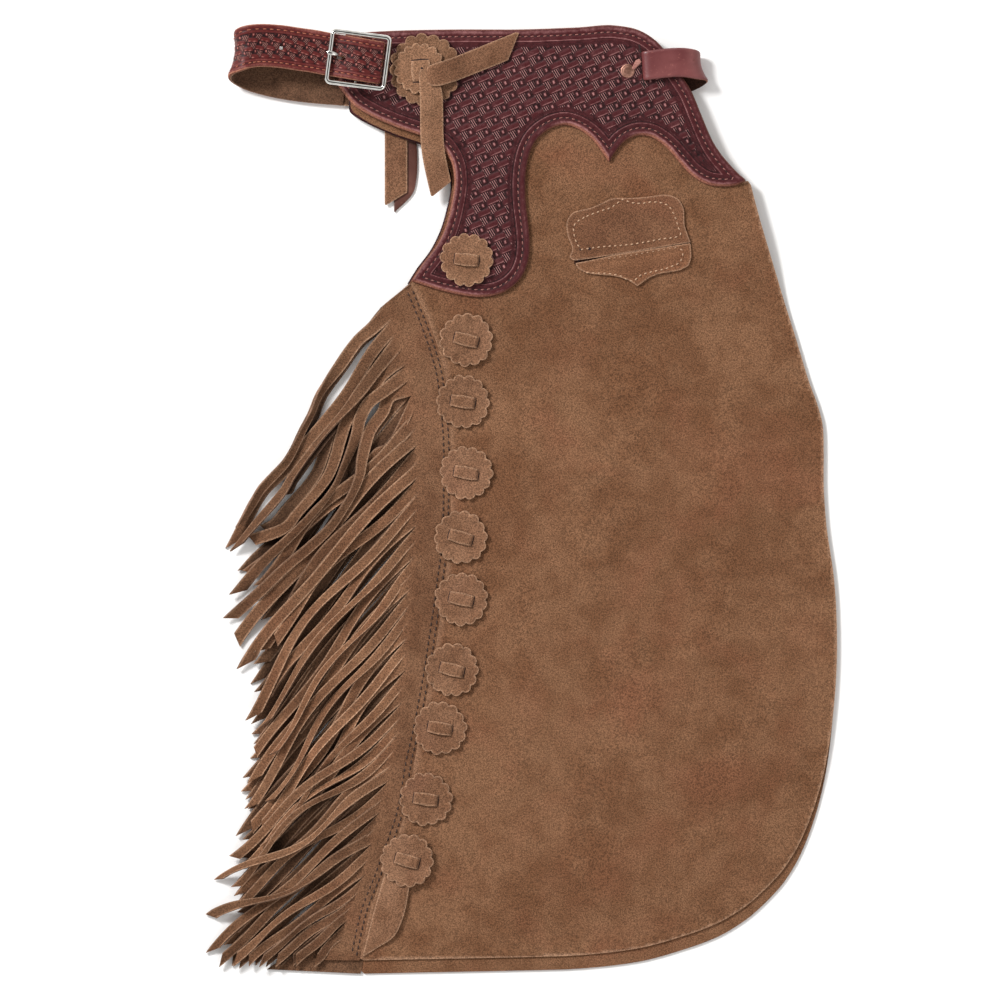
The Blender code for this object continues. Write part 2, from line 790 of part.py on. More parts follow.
def slanted_end(obj, end, cut_line):
    """Cuts a strap's end square to the surface, on the left of a line through a point."""
    bm = bmesh.new()
    bm.from_mesh(obj.data)
    bmesh.ops.bisect_plane(
        bm,
        geom=bm.verts[:] + bm.edges[:] + bm.faces[:],
        dist=1e-7,
        plane_co=(end[0] * MM, end[1] * MM, 0.0),
        plane_no=(cut_line[1], -cut_line[0], 0.0),
        clear_outer=True,
    )
    bm.to_mesh(obj.data)
    bm.free()


# The legs -----------------------------------------------------------------------------------------


def make_legs():
    near_leg = leg_outline(NEAR_YOKE_END)
    far_leg = slipped(leg_outline(FAR_YOKE_END))
    laid_sheet("far_panel", far_leg, FAR_PANEL_LEVEL, SUEDE, "suede")
    laid_sheet("near_panel", near_leg, NEAR_PANEL_LEVEL, SUEDE, "suede")


def make_yokes():
    far = slipped(yoke_outline(FAR_YOKE_END))
    flat_sheet("far_yoke", far, FAR_YOKE_LEVEL, YOKE_LEATHER, "stamped_leather")
    near = yoke_outline(NEAR_YOKE_END)
    level = NEAR_YOKE_LEVEL + LIFT
    top = level + YOKE_LEATHER
    yoke = flat_sheet("near_yoke", near, level, YOKE_LEATHER, "stamped_leather")
    field = outline_face(inset_outline(near, YOKE_BORDER))
    raised = bmesh.ops.extrude_face_region(field, geom=field.faces[:])
    lifted = [v for v in raised["geom"] if isinstance(v, bmesh.types.BMVert)]
    bmesh.ops.translate(field, vec=(0.0, 0.0, YOKE_FIELD_DEPTH + CUT_PAST), verts=lifted)
    bmesh.ops.translate(field, vec=(0.0, 0.0, top - YOKE_FIELD_DEPTH), verts=field.verts)
    cut(yoke, add_cutter("cut_yoke_field", field))
    through = (level - CUT_PAST, top + CUT_PAST)
    slit_size = (SLIT_WIDTH, SLIT_LENGTH)
    cut(yoke, box_cutter("cut_slit", SLIT_CENTRE, slit_size, SLIT_TURN, *through))
    hole_radius = RIVET_SHANK_RADIUS + GAP
    cut(yoke, round_cutter("cut_rivet", RIVET_CENTRE, hole_radius, HOLE_SIDES, *through))


# Fringe -------------------------------------------------------------------------------------------


def fall_angle(fall, share):
    if share < STRAND_BEND:
        turned_share = blend_in(share / STRAND_BEND)
        return math.radians(fall.root + (fall.middle - fall.root) * turned_share)
    turned_share = blend_in((share - STRAND_BEND) / (1.0 - STRAND_BEND))
    return math.radians(fall.middle + (fall.tip - fall.middle) * turned_share)


def strand_walk(root, fall, stray, hem_y):
    """The middle line of a strand and its direction, up to its length or the hem."""
    walk = [(root.copy(), fall_angle(fall, 0.0))]
    steps = round(fall.length / WALK_STEP)
    point = root.copy()
    for step in range(steps):
        share = (step + 0.5) / steps
        angle = fall_angle(fall, share)
        along = Vector((-math.cos(angle), -math.sin(angle)))
        aside = Vector((-along.y, along.x))
        point = point + along * WALK_STEP
        offset = aside * (stray * share ** 3)
        if point.y + offset.y < hem_y:
            break
        walk.append((point + offset, angle))
    return walk


def line_point_at_y(points, y):
    for start, end in zip(points, points[1:]):
        low, high = min(start.y, end.y), max(start.y, end.y)
        if low <= y <= high:
            return start.lerp(end, (y - start.y) / (end.y - start.y))
    return min(points, key=lambda p: abs(p.y - y)).copy()


def walk_along(points, distances):
    """The points of a line at the given distances from its start."""
    found = []
    travelled = 0.0
    wanted = list(distances)
    for start, end in zip(points, points[1:]):
        length = (end - start).length
        while wanted and wanted[0] <= travelled + length:
            found.append(start.lerp(end, (wanted.pop(0) - travelled) / length))
        travelled += length
    return found


def line_length(points):
    return sum((b - a).length for a, b in zip(points, points[1:]))


def strand_height(lay, lane, start_z, travelled):
    """A strand sinks to what it lies on at once, and rises to its lane after the delay."""
    settled = min(start_z, lay.lanes[0] if lay.delay else lane)
    low = start_z + (settled - start_z) * blend_in(travelled / lay.run)
    return low + (lane - settled) * blend_in((travelled - lay.delay) / lay.run)


def strand_sections(root_pair, fall, stray, lane, lay):
    """Pairs of points across a strand, from its root to its slanted tip."""
    upper, lower = root_pair
    root = (upper + lower) / 2.0
    pitch = (lower - upper).normalized() * STRAND_PITCH
    walk = strand_walk(root, fall, stray, lay.hem_y)
    at_hem = len(walk) <= round(fall.length / WALK_STEP)
    count = max(2, round((len(walk) - 1) * WALK_STEP / STRAND_SEGMENT))
    start_z = lay.level + rise(root)
    sections = []
    for index in range(1, count + 1):
        place = (len(walk) - 1) * index // count
        middle, angle = walk[place]
        along = Vector((-math.cos(angle), -math.sin(angle)))
        aside = Vector((along.y, -along.x))
        travelled = place * WALK_STEP
        width = STRAND_WIDTH
        if travelled < lay.delay + lay.run:
            width = min(width, abs(pitch.dot(aside)) - STRAND_SLIT)
        slant = 0.0
        if index == count:
            slant = -0.5 / math.tan(angle) if at_hem else 0.5 * math.tan(angle)
        z = strand_height(lay, lane, start_z, travelled)
        first = middle + aside * (width / 2.0) - along * (slant * width)
        second = middle - aside * (width / 2.0) + along * (slant * width)
        sections.append(((first.x, first.y, z), (second.x, second.y, z)))
    return sections


def make_fringe(name, lay, place):
    """One piece of suede: a narrow strip along the seam, slit into strands."""
    rng = random.Random(lay.seed)
    seam = place(moved_aside(smooth_line(SEAM, FRINGE_SEAM_STEP), -GAP))
    cut_line = place(smooth_line(FRINGE_CUT_LINE, CUT_LINE_STEP))
    count = int(line_length(cut_line) / STRAND_PITCH)
    marks = []
    for index in range(count):
        marks += [index * STRAND_PITCH, (index + 1) * STRAND_PITCH - STRAND_SLIT]
    edge = walk_along(cut_line, marks)

    bm = bmesh.new()

    def raised(point):
        return bm.verts.new((point.x, point.y, lay.level + rise(point)))

    edge_verts = [raised(p) for p in edge]
    seam_verts = [raised(line_point_at_y(seam, p.y)) for p in edge]
    for a, b, c, d in zip(seam_verts, edge_verts, edge_verts[1:], seam_verts[1:]):
        bm.faces.new((a, b, c, d))
    top = raised(seam[-1])
    bm.faces.new((top, edge_verts[0], seam_verts[0]))
    # Below the last slit the strip runs on to the hem, which cuts it off
    last_slit = math.tan(math.radians(lay.falls[-1].root))
    foot_x = edge[-1].x - (edge[-1].y - lay.hem_y) / last_slit + STRAND_SLIT
    foot = [raised(Vector((x, lay.hem_y))) for x in (seam[0].x, foot_x)]
    bm.faces.new((seam_verts[-1], edge_verts[-1], foot[1], foot[0]))

    for index in range(count):
        upper, lower = edge_verts[2 * index], edge_verts[2 * index + 1]
        pair = (edge[2 * index], edge[2 * index + 1])
        fall = table_row(lay.falls, (pair[0].y + pair[1].y) / 2.0)
        longer = rng.uniform(-1.0, 1.0) * STRAND_LENGTH_CHANGE
        fall = fall._replace(length=fall.length + longer)
        stray = rng.uniform(-1.0, 1.0) * lay.stray
        lane = lay.lanes[index % len(lay.lanes)]
        for first, second in strand_sections(pair, fall, stray, lane, lay):
            next_upper, next_lower = bm.verts.new(first), bm.verts.new(second)
            bm.faces.new((upper, next_upper, next_lower, lower))
            upper, lower = next_upper, next_lower

    bmesh.ops.recalc_face_normals(bm, faces=bm.faces)
    if sum(f.normal.z for f in bm.faces) < 0.0:
        bmesh.ops.reverse_faces(bm, faces=bm.faces)
    obj = add_object(name, bm, "suede")
    solidify(obj, lay.thickness, 1.0).use_even_offset = False


def make_fringes():
    make_fringe("far_fringe", FAR_LAY, slipped)
    make_fringe("near_fringe", NEAR_LAY, list)


# Rosettes and pocket ------------------------------------------------------------------------------


def rosette_outline(centre, radius):
    """A disc with a scalloped edge, clockwise."""
    points = []
    count = ROSETTE_SCALLOPS * SCALLOP_POINTS
    for index in range(count):
        angle = -2.0 * math.pi * index / count
        bulge = abs(math.sin(ROSETTE_SCALLOPS * angle / 2.0))
        reach = radius - ROSETTE_SCALLOP_DEPTH * (1.0 - bulge)
        points.append(Vector((centre[0] + reach * math.cos(angle), centre[1] + reach * math.sin(angle))))
    return points


def lace_bar(name, centre, length, width, turn, low, high, laid):
    """A lace that comes up through one slot, crosses, and goes down through the other."""
    bm = bmesh.new()
    half = length / 2.0
    middle = high + LACE / 2.0
    profile = [(-half, low), (-half, middle), (half, middle), (half, low)]
    pairs = []
    for along, z in profile:
        pairs.append([bm.verts.new((along, width * side, z)) for side in (-0.5, 0.5)])
    for (a, b), (c, d) in zip(pairs, pairs[1:]):
        bm.faces.new((a, c, d, b))
    place = Matrix.Translation((centre[0], centre[1], 0.0)) @ turned(turn)
    bmesh.ops.transform(bm, matrix=place, verts=bm.verts)
    if laid:
        lay_down(bm, 0.0)
    obj = add_object(name, bm, "suede")
    solidify(obj, LACE, 0.0)


def cut_slots(obj, centre, length, width, turn):
    """The two slots that a lace passes through."""
    size = (LACE + 2.0 * GAP, width + 2.0 * GAP)
    for side in (-0.5, 0.5):
        offset = turned(turn) @ Vector((length * side, 0.0, 0.0))
        place = (centre[0] + offset.x, centre[1] + offset.y)
        name = "cut_{}_{}".format(obj.name, "left" if side < 0.0 else "right")
        cut(obj, box_cutter(name, place, size, turn, *SLOT_THROUGH))


def make_leg_rosettes():
    for number, row in enumerate(LEG_ROSETTES, start=1):
        centre = (row.x, row.y)
        on_yoke = number == 1
        on_tail = number == len(LEG_ROSETTES)
        level = ON_PANEL_LEVEL
        if on_yoke:
            level = ON_YOKE_LEVEL - LIFT
        if on_tail:
            level += LACE + GAP
        disc = laid_sheet(
            "leg_rosette_{:02d}".format(number),
            rosette_outline(centre, ROSETTE_RADIUS), level, SUEDE, "suede",
        )
        cut_slots(disc, centre, LACE_LENGTH, LACE_WIDTH, row.lace_turn)
        lace_bar(
            "leg_lace_{:02d}".format(number), centre, LACE_LENGTH, LACE_WIDTH,
            row.lace_turn, level, level + SUEDE + GAP, laid=True,
        )
    tail = smooth_line(LACE_TAIL, TAIL_STEP, closed=True)
    laid_sheet("lace_tail", tail, ON_PANEL_LEVEL, LACE, "suede")


def make_hip_rosette():
    large = rosette_outline(HIP_CENTRE_LARGE, HIP_RADIUS_LARGE)
    small = rosette_outline(HIP_CENTRE_SMALL, HIP_RADIUS_SMALL)
    small_level = ON_YOKE_LEVEL + THONG + GAP
    knot_level = small_level + THONG + GAP
    discs = [
        flat_sheet("hip_rosette_large", large, ON_YOKE_LEVEL, THONG, "suede"),
        flat_sheet("hip_rosette_small", small, small_level, THONG, "suede"),
    ]
    for disc in discs:
        cut_slots(disc, HIP_KNOT_CENTRE, HIP_KNOT_LENGTH, HIP_KNOT_WIDTH, 0.0)
    lace_bar(
        "hip_knot", HIP_KNOT_CENTRE, HIP_KNOT_LENGTH, HIP_KNOT_WIDTH, 0.0,
        ON_YOKE_LEVEL, knot_level, laid=False,
    )
    slanted_end(thong("hip_thong_up", THONG_UP_ROUTE), *THONG_UP_END)
    slanted_end(thong("hip_thong_down", THONG_DOWN_ROUTE), *THONG_DOWN_END)


def make_far_thongs():
    over = smooth_line(FAR_THONG_OVER_OUTLINE, THONG_STEP, closed=True)
    under = smooth_line(FAR_THONG_UNDER_OUTLINE, THONG_STEP, closed=True)
    flat_sheet("far_thong_over", over, FAR_THONG_OVER, THONG, "suede")
    flat_sheet("far_thong_under", under, FAR_THONG_UNDER, THONG, "suede")


def make_pocket():
    upper = smooth_line(POCKET_UPPER, POCKET_STEP, closed=True)
    lower = smooth_line(POCKET_LOWER, POCKET_STEP, closed=True)
    laid_sheet("pocket_upper", upper, ON_PANEL_LEVEL, SUEDE, "suede")
    laid_sheet("pocket_lower", lower, ON_PANEL_LEVEL, SUEDE, "suede")


# Belt ---------------------------------------------------------------------------------------------


def belt_point(along, across, z):
    """A point in the buckle's own axes, in the model's."""
    turned_point = turned(BUCKLE_TURN) @ Vector((along, across, z))
    return turned_point + Vector((BUCKLE_CENTRE[0], BUCKLE_CENTRE[1], 0.0))


def wire(name, points, diameter, material, cyclic=False):
    """A bent wire as a curve, made a closed mesh."""
    curve = bpy.data.curves.new(name, "CURVE")
    curve.dimensions = "3D"
    curve.bevel_depth = diameter / 2.0 * MM
    curve.bevel_resolution = 2
    curve.use_fill_caps = True
    spline = curve.splines.new("POLY")
    spline.points.add(len(points) - 1)
    for row, point in zip(spline.points, points):
        row.co = (point.x * MM, point.y * MM, point.z * MM, 1.0)
    spline.use_cyclic_u = cyclic
    guide = bpy.data.objects.new(name + "_guide", curve)
    PARTS.objects.link(guide)
    graph = bpy.context.evaluated_depsgraph_get()
    mesh = bpy.data.meshes.new_from_object(guide.evaluated_get(graph))
    bpy.data.objects.remove(guide, do_unlink=True)
    bm = bmesh.new()
    bm.from_mesh(mesh)
    bpy.data.meshes.remove(mesh)
    bmesh.ops.remove_doubles(bm, verts=bm.verts, dist=1e-6)
    bmesh.ops.recalc_face_normals(bm, faces=bm.faces)
    return add_object(name, bm, material, scale=1.0)


def make_billet():
    frames = strap_frames(smooth_route(BILLET_ROUTE, ROUTE_STEPS))
    billet = strap_sheet("billet", frames, BILLET_WIDTH, "stamped_leather")
    solidify(billet, BILLET_LEATHER, 0.0)
    inward = -(BILLET_LEATHER + BILLET_LINING) / 2.0 - GAP
    if frames[0][2].z < 0.0:
        inward = -inward
    far_half = [row[0].z < BILLET_LEATHER for row in frames]
    lined = [f for f, far in zip(frames, far_half) if not far or f[0].x < BILLET_LINING_ENDS_AT]
    lining_width = BILLET_WIDTH - LINING_NARROWER
    lining = strap_sheet("billet_lining", lined, lining_width, "suede_lining", inward)
    solidify(lining, BILLET_LINING, 0.0)
    slot_along = (TONGUE_SLOT_FROM + TONGUE_SLOT_TO) / 2.0
    slot_middle = belt_point(slot_along, -TONGUE_VEER * slot_along, 0.0)
    slot_size = (TONGUE_SLOT_TO - TONGUE_SLOT_FROM, TONGUE_SLOT_WIDTH)
    slot = box_cutter("cut_tongue_slot", slot_middle, slot_size, BUCKLE_TURN, *CUT_THROUGH)
    hole = round_cutter(
        "cut_billet_hole", BILLET_HOLE_CENTRE, BILLET_HOLE_RADIUS, HOLE_SIDES, *CUT_THROUGH
    )
    for obj in (billet, lining):
        cut(obj, slot)
        cut(obj, hole)


def make_buckle():
    ring = []
    for sign_x, sign_y, start in ((1, 1, 90.0), (1, -1, 0.0), (-1, -1, -90.0), (-1, 1, -180.0)):
        for step in range(BUCKLE_CORNER_STEPS + 1):
            angle = math.radians(start - 90.0 * step / BUCKLE_CORNER_STEPS)
            along = sign_x * (BUCKLE_LENGTH / 2.0 - BUCKLE_CORNER) + BUCKLE_CORNER * math.cos(angle)
            across = sign_y * (BUCKLE_WIDTH / 2.0 - BUCKLE_CORNER) + BUCKLE_CORNER * math.sin(angle)
            ring.append(belt_point(along, across, BUCKLE_LEVEL))
    frame = wire("buckle_frame", ring, BUCKLE_WIRE, "nickel", cyclic=True)
    half = BUCKLE_WIDTH / 2.0
    bend = CENTRE_BAR_BEND
    bar_rows = [
        (-half, BUCKLE_LEVEL),
        (-half, CENTRE_BAR_LEVEL + bend),
        (-half + bend, CENTRE_BAR_LEVEL),
        (half - bend, CENTRE_BAR_LEVEL),
        (half, CENTRE_BAR_LEVEL + bend),
        (half, BUCKLE_LEVEL),
    ]
    bar_points = [belt_point(0.0, across, z) for across, z in bar_rows]
    bar = wire("centre_bar", bar_points, CENTRE_BAR_WIRE, "nickel")
    PARTS.objects.unlink(bar)
    CUTTERS.objects.link(bar)
    bar.hide_render = True
    bar.display_type = "WIRE"
    joined = frame.modifiers.new("Centre bar", "BOOLEAN")
    joined.operation = "UNION"
    joined.solver = "EXACT"
    joined.object = bar


def round_the_bar(radius, angles):
    """Distances along the belt, and heights, on a bend round the centre bar."""
    bend = []
    for degrees in angles:
        angle = math.radians(degrees)
        bend.append(Level(radius * math.cos(angle), CENTRE_BAR_LEVEL + radius * math.sin(angle)))
    return bend


def make_tongue():
    """The tongue hooks round the centre bar, comes up through the billet and rests on the frame."""
    hook = CENTRE_BAR_WIRE / 2.0 + GAP + TONGUE_WIRE / 2.0
    points = [belt_point(row.along, 0.0, row.z) for row in round_the_bar(hook, TONGUE_HOOK)]
    points += [belt_point(row.along, -TONGUE_VEER * row.along, row.z) for row in TONGUE_RUN]
    wire("buckle_tongue", points, TONGUE_WIRE, "nickel")


def make_chape():
    """A strap folded round the centre bar, both ends on the near yoke."""
    hold = CENTRE_BAR_WIRE / 2.0 + GAP + CHAPE_LEATHER / 2.0
    lower_z = ON_YOKE_LEVEL + CHAPE_LEATHER / 2.0
    upper_z = lower_z + CHAPE_LEATHER + GAP
    rows = [Level(CHAPE_LENGTH, lower_z), Level(CHAPE_FLAT_BELOW, lower_z)]
    rows += round_the_bar(hold, CHAPE_FOLD)
    rows += [
        Level(CHAPE_SHOULDER[0], upper_z + CHAPE_SHOULDER[1]),
        Level(CHAPE_FLAT_ABOVE, upper_z),
        Level(CHAPE_LENGTH, upper_z),
    ]
    bm = bmesh.new()
    pairs = []
    for row in rows:
        ends = [belt_point(row.along, CHAPE_WIDTH * side, row.z) for side in (-0.5, 0.5)]
        pairs.append([bm.verts.new(end) for end in ends])
    for (a, b), (c, d) in zip(pairs, pairs[1:]):
        bm.faces.new((a, c, d, b))
    obj = add_object("buckle_chape", bm, "strap_leather")
    solidify(obj, CHAPE_LEATHER, 0.0)
    middle = belt_point(0.0, 0.0, 0.0)
    size = (CHAPE_SLOT_LENGTH, CHAPE_SLOT)
    cut(obj, box_cutter("cut_chape", middle, size, BUCKLE_TURN, *CUT_THROUGH))


def make_front_strap():
    frames = strap_frames(smooth_route(FRONT_STRAP_ROUTE, ROUTE_STEPS))
    obj = strap_sheet("front_strap", frames, STRAP_WIDTH, "strap_leather", strips=FRONT_STRAP_STRIPS)
    solidify(obj, STRAP_LEATHER, 0.0).use_even_offset = False


def make_rivet():
    """A domed head turned about the shank, which passes through the yoke."""
    head = ON_YOKE_LEVEL
    profile = [
        (0.0, head + RIVET_HEAD_HEIGHT),
        (0.65 * RIVET_HEAD_RADIUS, head + 0.85 * RIVET_HEAD_HEIGHT),
        (RIVET_HEAD_RADIUS, head + 0.35 * RIVET_HEAD_HEIGHT),
        (RIVET_HEAD_RADIUS, head),
        (RIVET_SHANK_RADIUS, head),
        (RIVET_SHANK_RADIUS, NEAR_YOKE_LEVEL + LIFT),
        (0.0, NEAR_YOKE_LEVEL + LIFT),
    ]
    bm = bmesh.new()
    verts = [bm.verts.new((radius, 0.0, z)) for radius, z in profile]
    for first, second in zip(verts, verts[1:]):
        bm.edges.new((first, second))
    obj = add_object("copper_rivet", bm, "copper")
    obj.location = (RIVET_CENTRE[0] * MM, RIVET_CENTRE[1] * MM, 0.0)
    turn = obj.modifiers.new("Turn", "SCREW")
    turn.steps = RIVET_STEPS
    turn.render_steps = RIVET_STEPS
    turn.use_merge_vertices = True
    turn.merge_threshold = 0.00001


make_legs()
make_yokes()
make_fringes()
make_leg_rosettes()
make_hip_rosette()
make_far_thongs()
make_pocket()
make_billet()
make_buckle()
make_tongue()
make_chape()
make_front_strap()
make_rivet()
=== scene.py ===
"""How the western fringed chaps look: suede legs and fringe, stamped yokes, belt and hardware.

Lengths in the tables are in millimetres, in the model's own frame: +X to the front edge, +Y to the
waist, +Z up from the surface that the chaps lie on. Turns are in degrees.
"""

import math
import random
from collections import namedtuple

import bmesh
import bpy
import numpy as np
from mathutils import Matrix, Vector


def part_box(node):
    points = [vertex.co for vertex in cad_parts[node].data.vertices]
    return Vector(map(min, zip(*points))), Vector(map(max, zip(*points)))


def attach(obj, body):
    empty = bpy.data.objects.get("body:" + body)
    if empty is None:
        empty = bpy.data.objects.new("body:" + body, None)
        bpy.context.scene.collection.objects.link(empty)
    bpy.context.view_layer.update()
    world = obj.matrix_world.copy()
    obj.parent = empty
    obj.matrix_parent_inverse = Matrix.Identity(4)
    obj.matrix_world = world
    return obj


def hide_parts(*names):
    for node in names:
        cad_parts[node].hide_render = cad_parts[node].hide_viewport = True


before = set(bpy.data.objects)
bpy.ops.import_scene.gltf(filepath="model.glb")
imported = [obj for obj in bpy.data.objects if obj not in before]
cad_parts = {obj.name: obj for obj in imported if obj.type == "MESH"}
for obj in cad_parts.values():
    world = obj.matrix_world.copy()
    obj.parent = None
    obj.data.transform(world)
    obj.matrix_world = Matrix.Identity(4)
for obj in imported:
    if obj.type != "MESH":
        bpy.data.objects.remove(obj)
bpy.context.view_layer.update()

MM = 0.001
FULL_TURN = 2.0 * math.pi
UP = np.array((0.0, 0.0, 1.0))

# The stack, from the surface up
SUEDE = 1.6
GAP = 0.3
FAR_PANEL_LEVEL = 0.0
NEAR_PANEL_LEVEL = 1.9
ON_PANEL_LEVEL = 3.8
FAR_YOKE_LEVEL = 3.6
YOKE_LEATHER = 3.2
NEAR_YOKE_LEVEL = 10.9
YOKE_TOP = NEAR_YOKE_LEVEL + YOKE_LEATHER
ON_YOKE_LEVEL = 14.4
LACE = 1.3
THONG = 1.4
# The leg lies higher by LIFT over the far yoke, and comes down along this ramp
LIFT = 7.1
RAMP_TOP = np.array((-39.0, 174.0))
RAMP_DOWN = np.array((0.30, -1.0)) / math.hypot(0.30, 1.0)
RAMP_WIDTH = 90.0
# How far the far leg has slipped out from under the near one: y, aside, down
FAR_SLIPS = np.array([
    (-422.0, 0.9, 12.3), (60.0, -3.0, 6.0), (240.0, -4.5, 2.5), (330.0, -2.5, 7.2), (430.0, -2.0, 7.2),
])
FAR_HEM_Y = -431.6
SEAM = np.array([
    (-103.0, 196.5), (-96.0, 184.0), (-84.5, 158.5), (-72.5, 121.0), (-67.5, 83.5), (-65.5, 45.0),
    (-65.5, -3.5), (-68.0, -46.5), (-72.5, -88.0), (-78.0, -125.5), (-86.5, -175.0),
    (-95.5, -220.5), (-107.5, -285.5), (-117.5, -316.5), (-128.5, -346.0), (-139.5, -377.0),
    (-149.0, -422.0),
])
FRINGE_CUT_LINE = np.array([
    (-125.5, 178.5), (-119.0, 168.0), (-115.5, 152.0), (-106.5, 129.0), (-101.0, 90.5),
    (-95.0, 54.0), (-94.0, 17.5), (-95.5, -28.5), (-101.0, -78.5), (-104.0, -129.0),
    (-108.5, -184.0), (-119.5, -248.0), (-133.0, -298.5), (-145.0, -348.5), (-158.0, -380.5),
    (-164.0, -408.0),
])


# Nodes and materials ----------------------------------------------------------------------------


def srgb(red, green, blue):
    """A colour as a picture shows it, 0 to 255, in the linear values that shaders take."""
    linear = []
    for value in (red, green, blue):
        value /= 255.0
        linear.append(value / 12.92 if value <= 0.04045 else ((value + 0.055) / 1.055) ** 2.4)
    return (*linear, 1.0)


class Value:
    """A node's output, whose sums and products are new nodes."""

    def __init__(self, nodes, socket):
        self.nodes = nodes
        self.socket = socket

    def __add__(self, other):
        return self.nodes.add("ShaderNodeMath", {0: self, 1: other}, operation="ADD")

    def __mul__(self, other):
        return self.nodes.add("ShaderNodeMath", {0: self, 1: other}, operation="MULTIPLY")


class Nodes:
    """A node tree in the making."""

    def __init__(self, tree):
        self.tree = tree

    def fill(self, node, inputs):
        """Gives a node its inputs: constants, or outputs to link."""
        for key, value in inputs.items():
            if isinstance(value, Value):
                self.tree.links.new(value.socket, node.inputs[key])
            else:
                node.inputs[key].default_value = value

    def add(self, kind, inputs=None, output=0, **settings):
        node = self.tree.nodes.new(kind)
        for key, value in settings.items():
            setattr(node, key, value)
        self.fill(node, inputs or {})
        return Value(self, node.outputs[output])

    def between(self, value, low, high, to_low=0.0, to_high=1.0):
        inputs = {0: value, 1: low, 2: high, 3: to_low, 4: to_high}
        return self.add("ShaderNodeMapRange", inputs, interpolation_type="SMOOTHSTEP")


# The materials by their names here. Blender may number them, because the CAD's have names too
LOOKS = {}


class Look(Nodes):
    """A material in the making, from the place of a point on its object."""

    def __init__(self, name):
        LOOKS[name] = material = bpy.data.materials.new(name)
        material.use_nodes = True
        super().__init__(material.node_tree)
        self.shader = self.tree.nodes["Principled BSDF"]
        self.place = self.add("ShaderNodeTexCoord", output="Object")

    def noise(self, scale, detail=2.0, distortion=0.0):
        """Noise that is about 1/scale metres across, from 0 to 1."""
        inputs = {"Vector": self.place, "Scale": scale, "Detail": detail, "Distortion": distortion}
        return self.add("ShaderNodeTexNoise", inputs, "Fac")

    def mix(self, share, first, second):
        """A mix of two colours, as outputs or as a picture shows them."""
        first, second = [c if isinstance(c, Value) else srgb(*c) for c in (first, second)]
        return self.add("ShaderNodeMix", {0: share, 6: first, 7: second}, 2, data_type="RGBA")

    def given(self, name):
        """A value that the mesh carries."""
        return self.add("ShaderNodeAttribute", None, "Fac", attribute_name=name)

    def finish(self, colour, roughness, height, strength, distance, constants=None):
        """Sets the shader, its surface bumped by a height in units of distance."""
        inputs = {"Height": height, "Strength": strength, "Distance": distance}
        inputs = {"Base Color": colour, "Roughness": roughness, "Normal": self.add("ShaderNodeBump", inputs)}
        self.fill(self.shader, {**inputs, **(constants or {})})


# The pale of rims: worn nap, and a painted highlight along cut edges
WORN_AND_HIGHLIT_SUEDE = (186, 148, 120)


def suede(name, dark, light, red, shift=(0.0, 0.0, 0.0)):
    """Split suede: cloudy tones where the nap lies one way or the other, and a fine nap. Pieces may
    carry two values: tone, 1 for a fifth lighter, which on some pieces carries painted shade; and rim,
    where the nap is worn pale at a cut, with a painted highlight along it."""
    look = Look(name)
    look.place = look.add("ShaderNodeMapping", {"Vector": look.place, "Location": shift})
    clouds, patches = look.noise(8.0, 4.0, 0.6), look.noise(46.0, 3.0, 0.5)
    grain, nap = look.noise(720.0), look.noise(1350.0, 1.0)
    colour = look.mix(look.between(clouds + patches * 0.8, 0.66, 1.14), dark, light)
    colour = look.mix(look.between(look.noise(11.0, 3.0, 0.8), 0.46, 0.80, 0.0, 0.5), colour, red)
    colour = look.mix(look.given("rim") * 0.60, colour, WORN_AND_HIGHLIT_SUEDE)
    fine = look.between(grain + nap, 0.72, 1.28, 0.56, 1.44)
    inputs = {0: look.given("tone"), 1: 0.20, 2: 1.0}
    tone = look.add("ShaderNodeMath", inputs, operation="MULTIPLY_ADD")
    colour = look.add("ShaderNodeVectorMath", {0: colour, "Scale": fine * tone}, operation="SCALE")
    constants = {"Specular IOR Level": 0.10, "Sheen Weight": 0.06, "Sheen Roughness": 0.5}
    look.finish(colour, 0.95, grain + nap * 0.8, 0.75, 0.0008, constants)


def cut_edge(name, dark, light):
    """The pale, fibrous cut edge of leather."""
    look = Look(name)
    fibres = look.noise(700.0, 3.0, 0.5)
    colour = look.mix(look.between(fibres + look.noise(45.0), 0.75, 1.3), dark, light)
    look.finish(colour, 0.85, fibres, 0.5, 0.0004, {"Specular IOR Level": 0.2})


def stamped_leather(name, deep, body, worn_and_highlight, rim_dark, rim_light):
    """Oiled leather. Its pieces carry four values: tone, from the floor of a stamp, dark with painted
    shade, to its top, worn lighter and with painted highlights on its facets and edges; ticks, where a
    stamp has lines, which run in painted highlight and shade; strip, the place across those lines,
    one for each line; and rim, where the burnished cut edge begins."""
    look = Look(name)
    grain, patina = look.noise(800.0, 3.0, 0.3), look.noise(210.0, 3.0, 0.5)
    lit = look.given("tone") + look.noise(30.0, 3.0, 0.6) * 0.40 + grain * 0.45 + patina * 0.55
    colour = look.mix(look.between(lit, 0.55, 1.25), deep, body)
    colour = look.mix(look.between(lit, 1.25, 2.10), colour, worn_and_highlight)
    waves = look.add("ShaderNodeMath", {0: look.given("strip") * FULL_TURN}, operation="COSINE")
    line = look.between(waves, -0.1, 1.0)
    cut = look.between(look.given("ticks"), 0.25, 0.6)
    colour = look.mix(cut, colour, look.mix(line, deep, worn_and_highlight))
    edge = look.mix(look.between(grain, 0.3, 0.7), rim_dark, rim_light)
    colour = look.mix(look.given("rim"), colour, edge)
    roughness = look.between(patina, 0.3, 0.7, 0.42, 0.60)
    height = line * cut * 1.2 + grain * 0.5
    look.finish(colour, roughness, height, 0.9, 0.0004, {"Specular IOR Level": 0.22})


